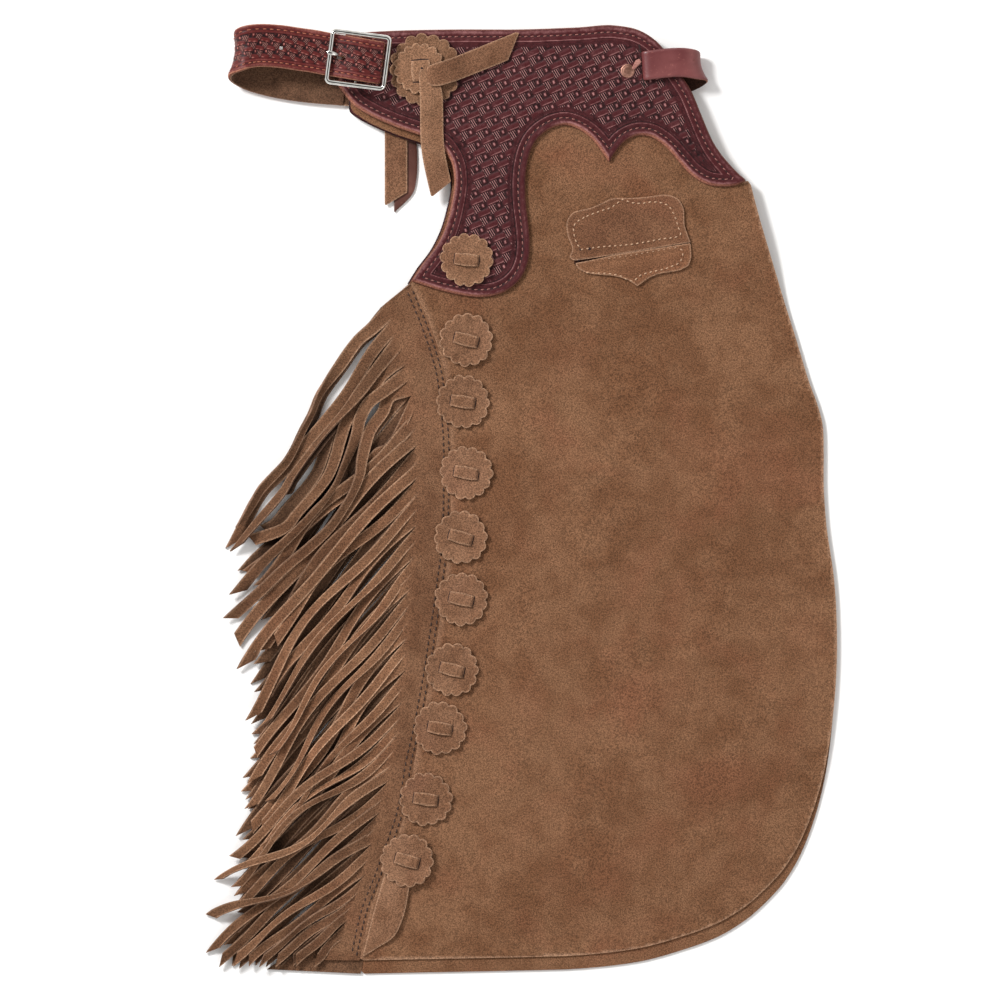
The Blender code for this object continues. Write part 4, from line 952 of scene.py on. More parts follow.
def basket(points, stamp):
    """Height, tone, and the mask and place of the tick lines, of a basket stamp's prints."""
    steps = np.stack([stamp.step, stamp.down])
    lattice = np.linalg.inv(steps.T)
    axes = np.stack([heading(stamp.turn), heading(stamp.turn + 90.0)])
    height = np.full(len(points), -0.50)
    # The floor between the prints is dark with painted shade
    tone = np.full(len(points), 0.10)
    ticks = np.zeros(len(points))
    strip = np.zeros(len(points))
    for kind, part in STAMP_PARTS.items():
        offset = np.array(stamp.origin) + np.array((part.x, part.y)) * stamp.size
        base = np.floor((points - offset) @ lattice.T)
        for shift in ((0, 0), (1, 0), (0, 1), (1, 1)):
            local = (points - offset - (base + shift) @ steps) / stamp.size
            u, v = (local @ axes.T).T
            shape, new_height, new_tone = part_relief(kind, part, u, v)
            here = (np.abs(u) < part.half_length) & (np.abs(v) < part.half_width)
            higher = here & (new_height > height)
            height = np.where(higher, new_height, height)
            tone = np.where(higher, new_tone, tone)
            ticks = np.where(higher, shape if kind == "block" else 0.0, ticks)
            strip = np.where(higher, local @ heading(TICK_TURN) / TICK_PITCH, strip)
    return height, tone, ticks, strip


def border_relief(inside, border, stitch_line):
    """Height and tone of a smooth border: its crown, its stitch groove and the line inside it. The tone has a
    painted highlight on that line and painted shade in the two grooves.
    """
    height = 0.26 * bell(inside, 0.45 * stitch_line, 2.0) - 0.30 * bell(inside, stitch_line, 0.8)
    height += 0.16 * bell(inside, 0.5 * (stitch_line + border), 1.7)
    height -= 0.40 * bell(inside, border - 0.2, 0.55)
    tone = 0.34 + 0.30 * bell(inside, 0.45 * stitch_line, 1.6) - 0.25 * bell(inside, stitch_line, 0.8)
    tone += 0.75 * bell(inside, border - 1.1, 0.45) - 0.45 * bell(inside, border - 0.2, 0.6)
    return height, tone


def yoke_relief(plan):
    """The face of the yoke: its cut edge, stitched border and stamped field."""
    inside = plan.inside
    field_height, field_tone, ticks, strip = basket(plan.points, YOKE_STAMP)
    into_field = eased((inside - BORDER - 0.3) / 1.0)
    height, tone = border_relief(inside, BORDER, STITCH_LINE)
    height = blend(height, field_height, into_field)
    tone = blend(tone, field_tone, into_field)
    # A row of radiating lines runs along the border's inner side
    fan = np.clip(1.4 * (1.0 - np.abs(inside - BORDER - 2.6) / 2.2), 0.0, 1.0)
    lines = 0.5 + 0.5 * np.cos(plan.points @ (2.3, 3.1))
    height = blend(height, -0.45 + 0.28 * lines, fan)
    tone = blend(tone, 0.02 + 0.48 * lines, fan)
    facing = np.clip(plan.outward @ np.array(TAN_FACING), 0.0, 1.0)
    width = TAN_EDGE + TAN_EDGE_LIT * facing
    height -= edge_drop(inside, width, 1.6)
    # A painted highlight on the tan edge where it faces the lower back
    tone += 0.34 * facing * bell(inside, width, 1.0)
    # The border is lighter along its lower back edge and along the waist
    tone += 0.10 * facing * eased((STITCH_LINE - inside) / 2.5)
    tone += 0.20 * np.clip(plan.outward[:, 1], 0.0, 1.0) * (1.0 - into_field)
    rim = eased((width - inside) / (0.5 * width)) * (0.35 + 0.65 * facing)
    return height, tone, ticks * into_field * (1.0 - fan), strip, rim


def give_stamping(obj, copies, *face_values):
    """A stamped piece's values: of its face, and again or plain for what is behind it."""
    rest = len(obj.data.vertices) - copies * len(face_values[0])
    for name, values, behind in zip(("tone", "ticks", "strip", "rim"), face_values, (0.3, 0.0, 0.0, 1.0)):
        give(obj, name, np.concatenate([np.tile(values, copies), np.full(rest, behind)]))


def make_yokes():
    loops = node_outlines("near_yoke")
    outer = panel_outline("near_yoke", 1.6)
    plan = filled([outer] + [smooth_through(loop, 0.8, closed=True) for loop in loops[1:]], 0.74)
    # The slit and the rivet's hole don't round off the face as the outline does
    inside, outward = distance_inside(plan.points, [outer])
    plan = plan._replace(inside=np.maximum(inside, 0.0), outward=outward)
    height, *face_values = yoke_relief(plan)
    looks = "stamped lining leather_edge"
    near = make_sheet(
        "near_yoke_leather", plan, YOKE_TOP + height, NEAR_YOKE_LEVEL, looks, mirrored=False
    )
    give_stamping(near, 1, *face_values)
    keep(near, "near_yoke", slot="stamped_leather")
    stitch_row(
        "yoke_stitches", inset_line(outer, STITCH_LINE), YOKE_STITCH_PITCH, YOKE_STITCH,
        YOKE_TOP - 0.16, "yoke_thread", 8.0, laid=False, holes=1.0,
    )
    plan = filled([panel_outline("far_yoke", 2.0)], 2.4)
    height, tone, ticks, strip, rim = yoke_relief(plan)
    top = FAR_YOKE_LEVEL + YOKE_LEATHER - 0.35 + 0.3 * height
    far = make_sheet("far_yoke_leather", plan, top, FAR_YOKE_LEVEL, "stamped lining lining")
    # The far yoke is darker by 0.3 in tone: painted shade where it lies behind the near pieces
    give_stamping(far, 2, tone - 0.3, ticks, strip, rim * 0.0)
    keep(far, "far_yoke", slot="stamped_leather")


def inset_line(loop, distance):
    """The line inside a dense closed loop, at a distance from it."""
    along = unit(np.roll(loop, -2, axis=0) - np.roll(loop, 2, axis=0))
    inward = np.stack([-along[:, 1], along[:, 0]], 1) * np.sign(crossed(loop))
    moved = loop + inward * distance
    kept = moved[distance_inside(moved, [loop])[0] > 0.985 * distance]
    return np.vstack([kept, kept[:1]])


# Fringe -----------------------------------------------------------------------------------------

STRAND_PITCH = 14.75
STRAND_THICKNESS = 1.8
STRAND_STEP = 3.0
# Each strand of the near fringe from the top: its tip, the angle below the horizontal that it
# arrives at, how far it waves, how far it turns on edge, the layer it lies in, and how it is cut
Strand = namedtuple("Strand", "x y angle wave roll layer cut")
UPRIGHT, LEVEL = "upright", "level"
NEAR_STRANDS = [Strand(*row) for row in (
    (-255.7, -20.1, 60, 0.0, 62, 2, UPRIGHT), (-263.1, -40.3, 62, 0.0, 14, 1, UPRIGHT),
    (-261.2, -43.9, 52, 0.0, 64, 2, UPRIGHT), (-247.5, -37.5, 40, 0.0, 26, 0, UPRIGHT),
    (-260.3, -85.1, 44, 0.0, 62, 2, UPRIGHT), (-266.7, -108.9, 44, 0.0, 46, 1, UPRIGHT),
    (-251.2, -66.8, 46, 0.0, 20, 0, UPRIGHT), (-238.3, -78.7, 52, 6.0, 30, 0, UPRIGHT),
    (-261.2, -129.0, 52, -4.0, 8, 0, LEVEL), (-238.3, -138.2, 58, 5.0, 28, 0, UPRIGHT),
    (-253.0, -151.0, 58, -3.0, 10, 1, UPRIGHT), (-225.5, -129.0, 60, 4.0, 16, 0, LEVEL),
    (-245.7, -198.6, 66, 5.0, 24, 1, UPRIGHT), (-234.7, -185.7, 62, -5.0, 34, 0, UPRIGHT),
    (-233.8, -204.0, 60, 4.0, 56, 2, UPRIGHT), (-243.9, -231.5, 52, -4.0, 10, 1, LEVEL),
    (-226.5, -231.5, 54, 6.0, 60, 2, UPRIGHT), (-244.8, -256.2, 58, -4.0, 14, 0, UPRIGHT),
    (-247.5, -280.9, 60, 5.0, 12, 1, UPRIGHT), (-231.0, -275.4, 52, 6.0, 60, 2, UPRIGHT),
    (-247.5, -300.1, 44, -5.0, 16, 0, LEVEL), (-238.3, -299.2, 50, 4.0, 26, 1, LEVEL),
    (-226.5, -302.9, 52, -6.0, 40, 0, UPRIGHT), (-235.6, -316.6, 46, 5.0, 58, 2, UPRIGHT),
    (-244.8, -321.2, 42, -3.0, 14, 0, UPRIGHT), (-263.1, -327.6, 44, 5.0, 10, 2, UPRIGHT),
    (-255.7, -337.6, 48, 6.0, 56, 1, UPRIGHT), (-261.2, -354.1, 56, 7.0, 64, 2, UPRIGHT),
    (-256.7, -360.5, 46, -5.0, 20, 0, UPRIGHT), (-277.7, -347.7, 26, -7.0, 58, 2, UPRIGHT),
    (-258.5, -371.5, 52, 4.0, 30, 0, UPRIGHT), (-283.2, -412.7, 48, -4.0, 12, 1, UPRIGHT),
    (-275.9, -421.5, 44, 3.0, 10, 0, LEVEL), (-285.0, -381.6, 24, -6.0, 60, 2, UPRIGHT),
    (-262.6, -421.0, 42, 3.0, 44, 1, LEVEL), (-250.2, -421.8, 43, -2.0, 14, 0, LEVEL),
    (-238.4, -421.8, 43, 2.0, 50, 2, LEVEL), (-224.6, -421.8, 43, 1.5, 12, 0, LEVEL),
    (-207.2, -421.8, 42, -1.0, 8, 0, LEVEL), (-189.0, -421.8, 42, 1.0, 6, 0, LEVEL),
)]
# Where the topmost strands run on their way, from the first one down
STRAND_WAYS = [
    [
        (-136.5, 156.8), (-150.5, 144.6), (-167.0, 121.7), (-184.4, 97.0), (-192.6, 77.8),
        (-200.8, 62.2), (-208.2, 46.7), (-216.4, 32.9), (-227.4, 21.0), (-238.4, 9.2), (-245.7, -2.7),
    ],
    [(-138.6, 132.7), (-162.4, 93.3), (-197.2, 51.2), (-216.4, 27.5), (-239.3, 4.6)],
    [(-135.0, 116.2), (-157.8, 86.0), (-185.3, 54.0), (-210.9, 20.1), (-219.1, 6.4), (-245.7, -24.7)],
    [
        (-119.4, 121.7), (-130.4, 110.7), (-138.6, 96.1), (-146.9, 85.1), (-159.7, 73.2),
        (-166.1, 55.8), (-170.6, 39.3), (-177.1, 22.0), (-189.0, 5.5), (-204.5, -11.9), (-217.3, -26.5),
    ],
    [
        (-115.7, 107.1), (-127.6, 97.9), (-140.5, 87.8), (-148.7, 73.2), (-151.4, 60.4), (-157.8, 43.0),
        (-164.2, 28.4), (-170.6, 13.7), (-180.7, -0.9), (-197.2, -19.2), (-215.5, -37.5), (-235.6, -55.8),
    ],
    [
        (-121.2, 94.2), (-127.6, 79.6), (-138.6, 64.1), (-143.2, 51.2), (-146.9, 34.8), (-148.7, 22.0),
        (-155.1, 5.5), (-164.2, -10.1), (-176.1, -26.5), (-194.4, -43.9), (-217.3, -63.1), (-238.4, -83.3),
    ],
    [
        (-121.2, 47.6), (-132.2, 43.0), (-140.5, 32.9), (-145.0, 22.0), (-157.8, 6.4), (-184.4, -13.7),
        (-212.7, -37.5),
    ],
]
# The angles that the near strands leave their roots at, by root height from the top down
ROOT_ANGLES = ((-178.5, 0.0, 100.0, 200.0, 420.0), (40.0, 45.0, 46.0, 42.0, 43.0))
FAR_COUNT = 38
# How the strands of the far fringe lie: root height, angles at root, middle and tip, and length
FAR_FALLS = np.array([
    (178.5, 48.0, 60.0, 56.0, 212.0),
    (-1.0, 46.0, 56.0, 52.0, 236.0),
    (-184.0, 43.0, 48.0, 49.0, 214.0),
    (-321.0, 40.0, 42.0, 42.0, 190.0),
    (-410.0, 40.0, 40.0, 40.0, 125.0),
])
# The near strands that the topmost far ones run along: how far aside and up, and for what share
FAR_BESIDE = [(1.0, -1.5, 0.70), (1.0, -1.5, 0.70), (1.0, -1.5, 0.75), (-11.0, 2.0, 0.9), (-9.0, 0.0, 0.9)]
# Where the uncut foot of each strip ends on its hem. The far one runs on below the near strands
NEAR_FOOT = (-190.0, -421.5)
FAR_FOOT = (-234.0, -430.2)
STRIP_LIFT = 1.5
ACROSS = np.array((0.5, 0.44, 0.34, 0.0, -0.34, -0.44, -0.5))
# How the strands' tone changes from the top of the fringe down
STRAND_TONE_DOWN = ((-180.0, -60.0, 60.0, 220.0, 340.0), (-1.2, -0.7, 1.1, 0.9, -0.9))
PILE_LIMIT = 21.0
# How much painted shade darkens a strand where it lies deep among the others, in its tone
PAINTED_SHADE_TONE = -3.3
DEEP_AT = 6.0


class Pile:
    """The height of everything that lies so far, on a grid, so that a strand rests on it."""

    def __init__(self, low, high, cell):
        self.low = np.array(low)
        self.cell = cell
        self.top = np.zeros(((np.array(high) - self.low) / cell).astype(int) + 2)

    def cells(self, points):
        index = ((points - self.low) / self.cell).astype(int)
        limit = np.array(self.top.shape) - 1
        return np.clip(index[..., 0], 0, limit[0]), np.clip(index[..., 1], 0, limit[1])

    def under(self, points):
        return self.top[self.cells(points)]

    def put(self, points, height):
        np.maximum.at(self.top, self.cells(points), height)

    def deep(self, points, reach):
        """How deep points lie below the mean height around them, from 0 to 1, for the painted shade."""
        cells = int(reach / self.cell)
        mean = pressed(self.top)
        for axis in (0, 1):
            mean = np.mean([np.roll(mean, k, axis) for k in range(-cells, cells + 1)], axis=0)
        return np.clip((mean[self.cells(points[:, :2])] - points[:, 2] - 0.5) / DEEP_AT, 0.0, 1.0)


def pressed(height):
    """The pile's own weight presses it together: the height that a loose one comes to."""
    return PILE_LIMIT * (1.0 - np.exp(-height / PILE_LIMIT))


def falling(angle):
    """The way a strand falls, at degrees below the horizontal, towards the back."""
    turned = np.radians(angle)
    return np.stack([-np.cos(turned), -np.sin(turned)], -1)


def strand_path(root, tip, root_angle, tip_angle, wave, phase, ways=()):
    """The middle line from the root to the tip, evenly spaced."""
    if ways:
        line = smooth_through(np.vstack([root, *ways, tip]), 2.0, corner=80.0)
    else:
        length = np.linalg.norm(tip - root)
        t = np.linspace(0.0, 1.0, 60)[:, None]
        line = hermite(t, root, falling(root_angle) * length, tip, falling(tip_angle) * length)
        chord = unit(tip - root)
        swing = np.sin(FULL_TURN * (1.15 * t + phase)) * np.sin(math.pi * t) ** 0.8
        line = line + np.array((-chord[1], chord[0])) * wave * swing
    count = max(8, round(travelled(line)[-1] / STRAND_STEP))
    return points_at(line, np.linspace(0.0, travelled(line)[-1], count + 1))


def strand_roll(share, roll, phase):
    """How far a strand is turned about its own line, in degrees."""
    turned = eased((share - 0.10 - 0.12 * phase) / 0.32)
    back = 1.0 - 0.55 * eased((share - 0.72) / 0.25) * (phase > 0.5)
    sway = 10.0 * np.sin(FULL_TURN * (1.6 * share + phase)) * eased(share / 0.2)
    return 0.84 * roll * turned * back + sway


def lay_strand(pile, root_points, path, roll, strand, root_z, curl, resting):
    """Rows of points across a strand, on top of what already lies there."""
    along = unit(np.gradient(path, axis=0))
    aside = np.stack([along[:, 1], -along[:, 0]], 1)
    distance = travelled(path)
    turned = np.radians(roll)
    sine, cosine = np.abs(np.sin(turned)), np.abs(np.cos(turned))
    spacing = abs(np.dot(root_points[0] - root_points[-1], aside[0]))
    width = min(max(spacing, 8.8), 11.6) - 0.4
    widths = spacing + (width - spacing) * eased(distance / 40.0)
    widths = widths * (1.0 - 0.22 * sine**2)
    tall = widths / 2.0 * sine + STRAND_THICKNESS / 2.0 * cosine
    wide = widths / 2.0 * cosine + STRAND_THICKNESS / 2.0 * sine
    feet = path[:, None, :] + aside[:, None, :] * (wide[:, None] * np.linspace(-0.8, 0.8, 7))[..., None]
    start = root_z + STRAND_THICKNESS / 2.0
    if resting:
        needed = pile.under(feet).max(1) + tall + 0.2
        settled = np.mean(windows(np.max(windows(needed, 3), axis=0), 4), axis=0)
    else:
        settled = np.mean(windows(tall + 0.2 + 1.3 * strand.layer, 4), axis=0)
    middle = start + (settled - start) * eased(distance / 22.0)
    late = distance > 24.0
    pile.put(feet[late], np.repeat((middle + tall)[late, None], feet.shape[1], axis=1))

    angle = math.atan2(-along[-1, 1], -along[-1, 0])
    slant = math.tan(angle) if strand.cut == UPRIGHT else -1.0 / math.tan(angle)
    push = ACROSS * width * min(max(slant, -1.5), 1.5)
    root_middle = (root_points[0] + root_points[-1]) / 2.0
    ending = eased((distance - distance[-1] + 22.0) / 22.0)
    free = eased(distance / 22.0)
    rows = []
    for index, place in enumerate(path):
        flat = np.cos(turned[index]) * widths[index] * ACROSS
        lift = np.sin(turned[index]) * widths[index] * ACROSS
        row = place + np.outer(flat, aside[index]) + np.outer(push * ending[index], along[index])
        row = blend(place + root_points - root_middle, row, free[index])
        height = middle[index] + lift + curl * (2.0 * ACROSS) ** 2 * free[index]
        rows.append(np.column_stack([row, pressed(height) if resting else height]))
    return rows


def strip_grid(seam, cut_line, count, foot_end):
    """Lines of points down the hem from the seam to the fringe's cut line, and their shares of it."""
    order = np.argsort(seam[:, 1])
    top = points_at(cut_line, [0.0])[0]
    peak = seam[np.argmax(seam[:, 1])]
    places = (np.arange(count)[:, None] + 0.5 - ACROSS[:-1]).ravel() * STRAND_PITCH
    edge = points_at(cut_line, np.append(places, count * STRAND_PITCH))
    foot = edge[-1]
    above = np.linspace(0.0, 1.0, 7)[:-1, None]
    below = np.linspace(0.0, 1.0, 9)[1:, None]
    outer = np.vstack([peak + (top - peak) * above, edge, foot + (np.array(foot_end) - foot) * below])
    inner_y = np.concatenate([
        (peak[1] + (top[1] - peak[1]) * above)[:, 0], edge[:, 1],
        (foot[1] + (seam[:, 1].min() - foot[1]) * below)[:, 0],
    ])
    inner = np.column_stack([np.interp(inner_y, seam[order, 1], seam[order, 0]), inner_y])
    shares = np.linspace(0.0, 1.0, 7)
    return [inner + (outer - inner) * share for share in shares], shares


def lay_fringe(seam, cut_line, level, strip_lift, foot_end, strands, paths, pile, seed, resting):
    """A strip and its strands: points, faces, and each point's own tone, rim and looseness."""
    rng = random.Random(seed)
    points, faces, values = [], [], []

    def add_rows(rows, tone, free, rims):
        faces.extend(grid_faces(len(rows), len(rows[0]), len(points)))
        for row, loose in zip(rows, free):
            points.extend(row)
            values.extend([(tone * loose, rim * loose, loose) for rim in rims])

    def raised(row, share):
        return in_plan(row, ground(row, level) + STRAND_THICKNESS / 2.0 + strip_lift * share**2)

    columns, shares = strip_grid(seam, cut_line, len(strands), foot_end)
    rows = [raised(column, share) for column, share in zip(columns, shares)]
    add_rows(rows, 0.0, [0.0] * len(rows), [0.0] * len(rows[0]))
    strip = np.concatenate([
        a[:, :2] + (b - a)[:, :2] * share
        for a, b in zip(rows[:-1], rows[1:]) for share in np.linspace(0.0, 1.0, 12)
    ])
    pile.put(strip, ground(strip, level) + STRAND_THICKNESS)
    for index, strand in sorted(enumerate(strands), key=lambda pair: pair[1].layer):
        base = index * STRAND_PITCH
        root_points = points_at(cut_line, base + (0.5 - ACROSS) * STRAND_PITCH)
        root = points_at(cut_line, [base + 0.5 * STRAND_PITCH])[0]
        phase = rng.random()
        share = travelled(paths[index]) / travelled(paths[index])[-1]
        roll = strand_roll(share, rng.choice((-1.0, 1.0)) * strand.roll, phase)
        root_z = ground(root, level) + strip_lift
        curl = rng.uniform(-0.6, 0.9)
        rows = lay_strand(pile, root_points, paths[index], roll, strand, root_z, curl, resting)
        rows[0] = raised(root_points, 1.0)
        rims = np.where(np.abs(ACROSS) > 0.4, 0.75 + 0.25 * rng.random(), 0.0)
        tone = rng.uniform(-1.2, 0.5) + np.interp(-root[1], *STRAND_TONE_DOWN)
        add_rows(rows, tone, eased(np.arange(len(rows)) / 5.0), rims)
    return np.array(points), faces, np.array(values)


def far_strands(cut_line, hem, near_paths):
    """Strands of the far fringe, which only shows between those of the near one, and their lines."""
    rng = random.Random(4)
    made, paths = [], []
    for index in range(FAR_COUNT):
        root = points_at(cut_line, [(index + 0.5) * STRAND_PITCH])[0]
        *angles, length = [np.interp(-root[1], -FAR_FALLS[:, 0], fall) for fall in FAR_FALLS[:, 1:].T]
        length += rng.uniform(-9.0, 9.0)
        steps = falling(np.interp(np.linspace(0.0, 1.0, 40), (0.0, 0.45, 1.0), angles))
        walk = root + np.vstack([np.zeros(2), np.cumsum(steps * length / 40.0, axis=0)])
        above_hem = walk[:, 1] >= hem
        tip = walk[above_hem][-1]
        strand = Strand(
            *tip, angles[2] + rng.uniform(-5.0, 5.0), rng.uniform(-3.0, 3.0),
            rng.choice((6.0, 10.0, 25.0)), index % 2, UPRIGHT if above_hem.all() else LEVEL,
        )
        path = strand_path(root, tip, angles[0], strand.angle, strand.wave, 0.1)
        if index < len(FAR_BESIDE):
            aside, up, kept = FAR_BESIDE[index]
            path = near_paths[index][: int(kept * len(near_paths[index]))] + (aside, up)
            joined = eased(np.linspace(0.0, 1.0, len(path)) / 0.25)[:, None]
            path = path + (root - path[0]) * (1.0 - joined)
        made.append(strand)
        paths.append(path)
    return made, paths


def make_fringe(name, node, laid, pile, look):
    """The fringe from what lay_fringe made, with painted shade where it lies deep in the whole pile."""
    points, faces, values = laid
    tone = values[:, 0] + PAINTED_SHADE_TONE * pile.deep(points, 9.0) * values[:, 2]
    given = {"tone": tone, "rim": values[:, 1]}
    keep(make_shell(name, points, faces, STRAND_THICKNESS, look + " strand_edge", given), node)


def make_fringes():
    pile = Pile((-320.0, -450.0), (-40.0, 220.0), 2.0)
    seam = smooth_through(SEAM, 4.0)
    cut_line = smooth_through(FRINGE_CUT_LINE, 4.0)
    rng = random.Random(8)
    paths = []
    for index, strand in enumerate(NEAR_STRANDS):
        root = points_at(cut_line, [(index + 0.5) * STRAND_PITCH])[0]
        root_angle = np.interp(-root[1], *ROOT_ANGLES)
        ways = STRAND_WAYS[index] if index < len(STRAND_WAYS) else ()
        tip = np.array((strand.x, strand.y))
        paths.append(strand_path(root, tip, root_angle, strand.angle, strand.wave, 0.12 * rng.random(), ways))
    far_seam, far_cut = slipped(seam), slipped(cut_line)
    far, far_paths = far_strands(far_cut, FAR_HEM_Y + 8.0, paths)
    laid_far = lay_fringe(far_seam, far_cut, 0.0, 0.0, FAR_FOOT, far, far_paths, pile, 21, False)
    laid_near = lay_fringe(
        seam, cut_line, NEAR_PANEL_LEVEL, STRIP_LIFT, NEAR_FOOT, NEAR_STRANDS, paths, pile, 33, True
    )
    make_fringe("far_fringe_strands", "far_fringe", laid_far, pile, "far_suede_shaded")
    make_fringe("near_fringe_strands", "near_fringe", laid_near, pile, "suede_fringe")


# Rosettes, pocket and far thongs ----------------------------------------------------------------

# Each leg rosette from the top: its centre, and its lace's turn
LEG_ROSETTES = [
    (-51.0, 218.5, -6.0), (-51.5, 145.5, -14.0), (-54.5, 89.0, -8.0), (-51.5, 24.0, -10.0),
    (-56.5, -35.0, -16.0), (-56.0, -91.5, -12.0), (-64.5, -156.0, -14.0), (-75.5, -209.5, -10.0),
    (-88.5, -274.5, -8.0), (-105.5, -330.5, -16.0),
]
# A disc's radius, its scallops and how deep they are
Disc = namedtuple("Disc", "radius scallops depth")
LEG_DISC = Disc(24.6, 14, 3.2)
# The slots in discs that laces pass through: middle, direction, length, level, whether it is laid
SLOTS = []
SLOT_WIDTH = 1.7
LACE_SHELL = 1.1
# The pocket's rows of stitches, and their length and width
POCKET_STITCH_PITCH = 5.1
POCKET_ROWS = [
    ([
        (57.1, 257.7), (63.5, 260.3), (72.0, 263.4), (81.0, 266.4), (87.0, 270.6), (91.5, 273.6),
        (96.5, 271.9), (101.0, 270.6), (108.5, 270.1), (118.5, 271.4), (128.0, 270.3), (134.5, 266.5),
        (139.6, 257.0), (142.5, 248.0), (144.5, 242.3), (141.0, 239.5), (128.5, 237.8), (114.5, 235.2),
        (100.0, 232.8), (88.0, 231.6), (74.0, 230.6), (62.0, 229.2), (53.5, 227.9), (49.2, 234.6),
        (46.6, 246.8), (49.0, 252.5), (57.1, 257.7),
    ], (2.9, 1.25)),
    ([
        (57.0, 207.0), (69.5, 206.4), (80.0, 205.8), (89.5, 203.8), (95.5, 200.6), (101.5, 199.4),
        (107.0, 204.0), (116.5, 207.2), (127.5, 209.6), (136.5, 212.6), (143.2, 216.0), (146.0, 221.5),
        (146.2, 226.5), (142.0, 230.0),
    ], (2.9, 1.25)),
    ([(142.0, 230.0), (120.0, 226.3), (98.0, 222.6), (80.0, 219.8), (64.0, 217.6)], (2.4, 0.7)),
]
# Small dark pits in the suede by the pocket: place and radius
POCKET_PITS = np.array([(61.2, 228.6, 1.4), (52.8, 227.9, 1.0), (48.2, 219.2, 1.5), (51.0, 218.2, 1.1)])
POCKET_MOUTH = np.array([(47.0, 213.5), (154.0, 230.5), (154.0, 236.0), (47.0, 220.0)])
FAR_THONGS = (("over", 1.9, "thong"), ("under", 0.2, "far_thong"))


def suede_piece(name, node, plan, level, top, look, reach=1.2, rim=1.2):
    """A piece of suede, lower and paler towards its cut edge."""
    top = top - edge_drop(plan.inside, reach, 0.3)
    obj = make_sheet(name, plan, top, level, f"{look} {look} suede_edge")
    pale_rim(obj, plan.inside, rim)
    return keep(obj, node)


def scalloped(centre, disc, seed):
    """A hand-cut scalloped disc's outline."""
    rng = np.random.default_rng(seed)
    angle = np.linspace(0.0, FULL_TURN, 16 * disc.scallops, endpoint=False)
    uneven = 1.0 + 0.014 * np.sin(angle * 3.0 + rng.uniform(0.0, 6.0)) + 0.010 * np.sin(angle * 7.0 + 1.0)
    start = rng.uniform(0.0, FULL_TURN)
    bulge = np.abs(np.sin(disc.scallops * (angle + start) / 2.0)) ** 0.62
    return circle(centre, (disc.radius - disc.depth * (1.0 - bulge)) * uneven, len(angle))


def make_disc(name, node, centre, disc, level, thickness, seed, lift, laid=True, shade=0.0):
    plan = filled([scalloped(centre, disc, seed)], 0.95)
    away = np.linalg.norm(plan.points - centre, axis=1) / disc.radius
    cup = lift * away**3 + 0.6 * away**2 * (0.6 + soft_noise(plan.points, 22.0, seed))
    under = ground(plan.points, level, laid) + np.maximum(cup, 0.0)
    obj = suede_piece(name, node, plan, under, under + thickness, "rosette", rim=1.3)
    clouds = 0.5 * soft_noise(plan.points, 7.0, seed + 40)
    # shade darkens the disc towards its rim: painted shade
    give_twice(obj, "tone", clouds - shade * np.clip(away, 0.0, 1.0) ** 2)


def make_lace(name, node, centre, length, width, turn, base, top, surface, laid=True):
    """A lace over a disc: it comes up through one slot and goes down through the other. surface
    is the disc's own level."""
    rows, columns = 17, 7
    along, aside = heading(turn), heading(turn + 90.0)
    reach = length + 1.4
    share = np.linspace(0.0, 1.0, rows)[:, None]
    across = np.linspace(-0.5, 0.5, columns)
    end = np.minimum(share, 1.0 - share) * reach
    bend = np.sqrt(1.0 - (1.0 - np.minimum(end / 2.0, 1.0)) ** 2)
    sideways = across * width * (1.0 - 0.06 * np.cos(FULL_TURN * share))
    plan = centre + along * ((share - 0.5) * reach)[..., None] + aside * sideways[..., None]
    plan = plan.reshape(-1, 2)
    height = base + (top - base + 0.45 * (1.0 - (2.0 * across) ** 2)) * bend
    rims = np.where(np.abs(across) > 0.49, 0.8, 0.25 * (1.0 - bend))
    points = in_plan(plan, ground(plan, height.ravel(), laid))
    faces = grid_faces(rows, columns)
    keep(make_shell(name, points, faces, LACE_SHELL, "rosette suede_edge", {"rim": rims.ravel()}), node)
    ends = [centre + along * side * reach / 2.0 for side in (-1.0, 1.0)]
    SLOTS.extend([(place, aside, width, surface + 0.35, laid) for place in ends])


def make_slots():
    points, faces = [], []
    share = np.linspace(-0.5, 0.5, 9)[:, None]
    half = SLOT_WIDTH / 2.0 * np.sqrt(1.0 - (2.0 * share) ** 2 * 0.95)
    for middle, way, length, level, laid in SLOTS:
        across = np.array((way[1], -way[0]))
        sides = [middle + way * share * length + across * side * half for side in (-1.0, 1.0)]
        plan = np.stack(sides, 1).reshape(-1, 2)
        faces += grid_faces(len(share), 2, len(points))
        points.extend(in_plan(plan, ground(plan, level, laid)))
    # The slots are dark sheets of painted shade on the discs
    keep(make_object("rosette_slots", points, faces, "hole"))


def make_leg_rosettes():
    for number, (x, y, turn) in enumerate(LEG_ROSETTES, start=1):
        centre = np.array((x, y))
        level = ON_YOKE_LEVEL - LIFT if number == 1 else ON_PANEL_LEVEL
        if number == len(LEG_ROSETTES):
            level += LACE + GAP + 0.8
        make_disc(
            f"rosette_{number:02d}", f"leg_rosette_{number:02d}", centre, LEG_DISC, level, SUEDE,
            40 + number, 1.1,
        )
        make_lace(
            f"rosette_lace_{number:02d}", f"leg_lace_{number:02d}", centre, 21.0, 10.8, turn,
            level + 0.9, level + SUEDE + 1.7, level + SUEDE,
        )
    plan = filled([panel_outline("lace_tail", 1.5)], 1.4)
    x, y = plan.points.T
    lifted = 2.0 * eased((-336.0 - y) / 20.0) * eased((x + 136.0) / 24.0)
    level = ground(plan.points, ON_PANEL_LEVEL) + lifted
    suede_piece("rosette_tail", "lace_tail", plan, level, level + LACE, "rosette", 1.4, 1.4)


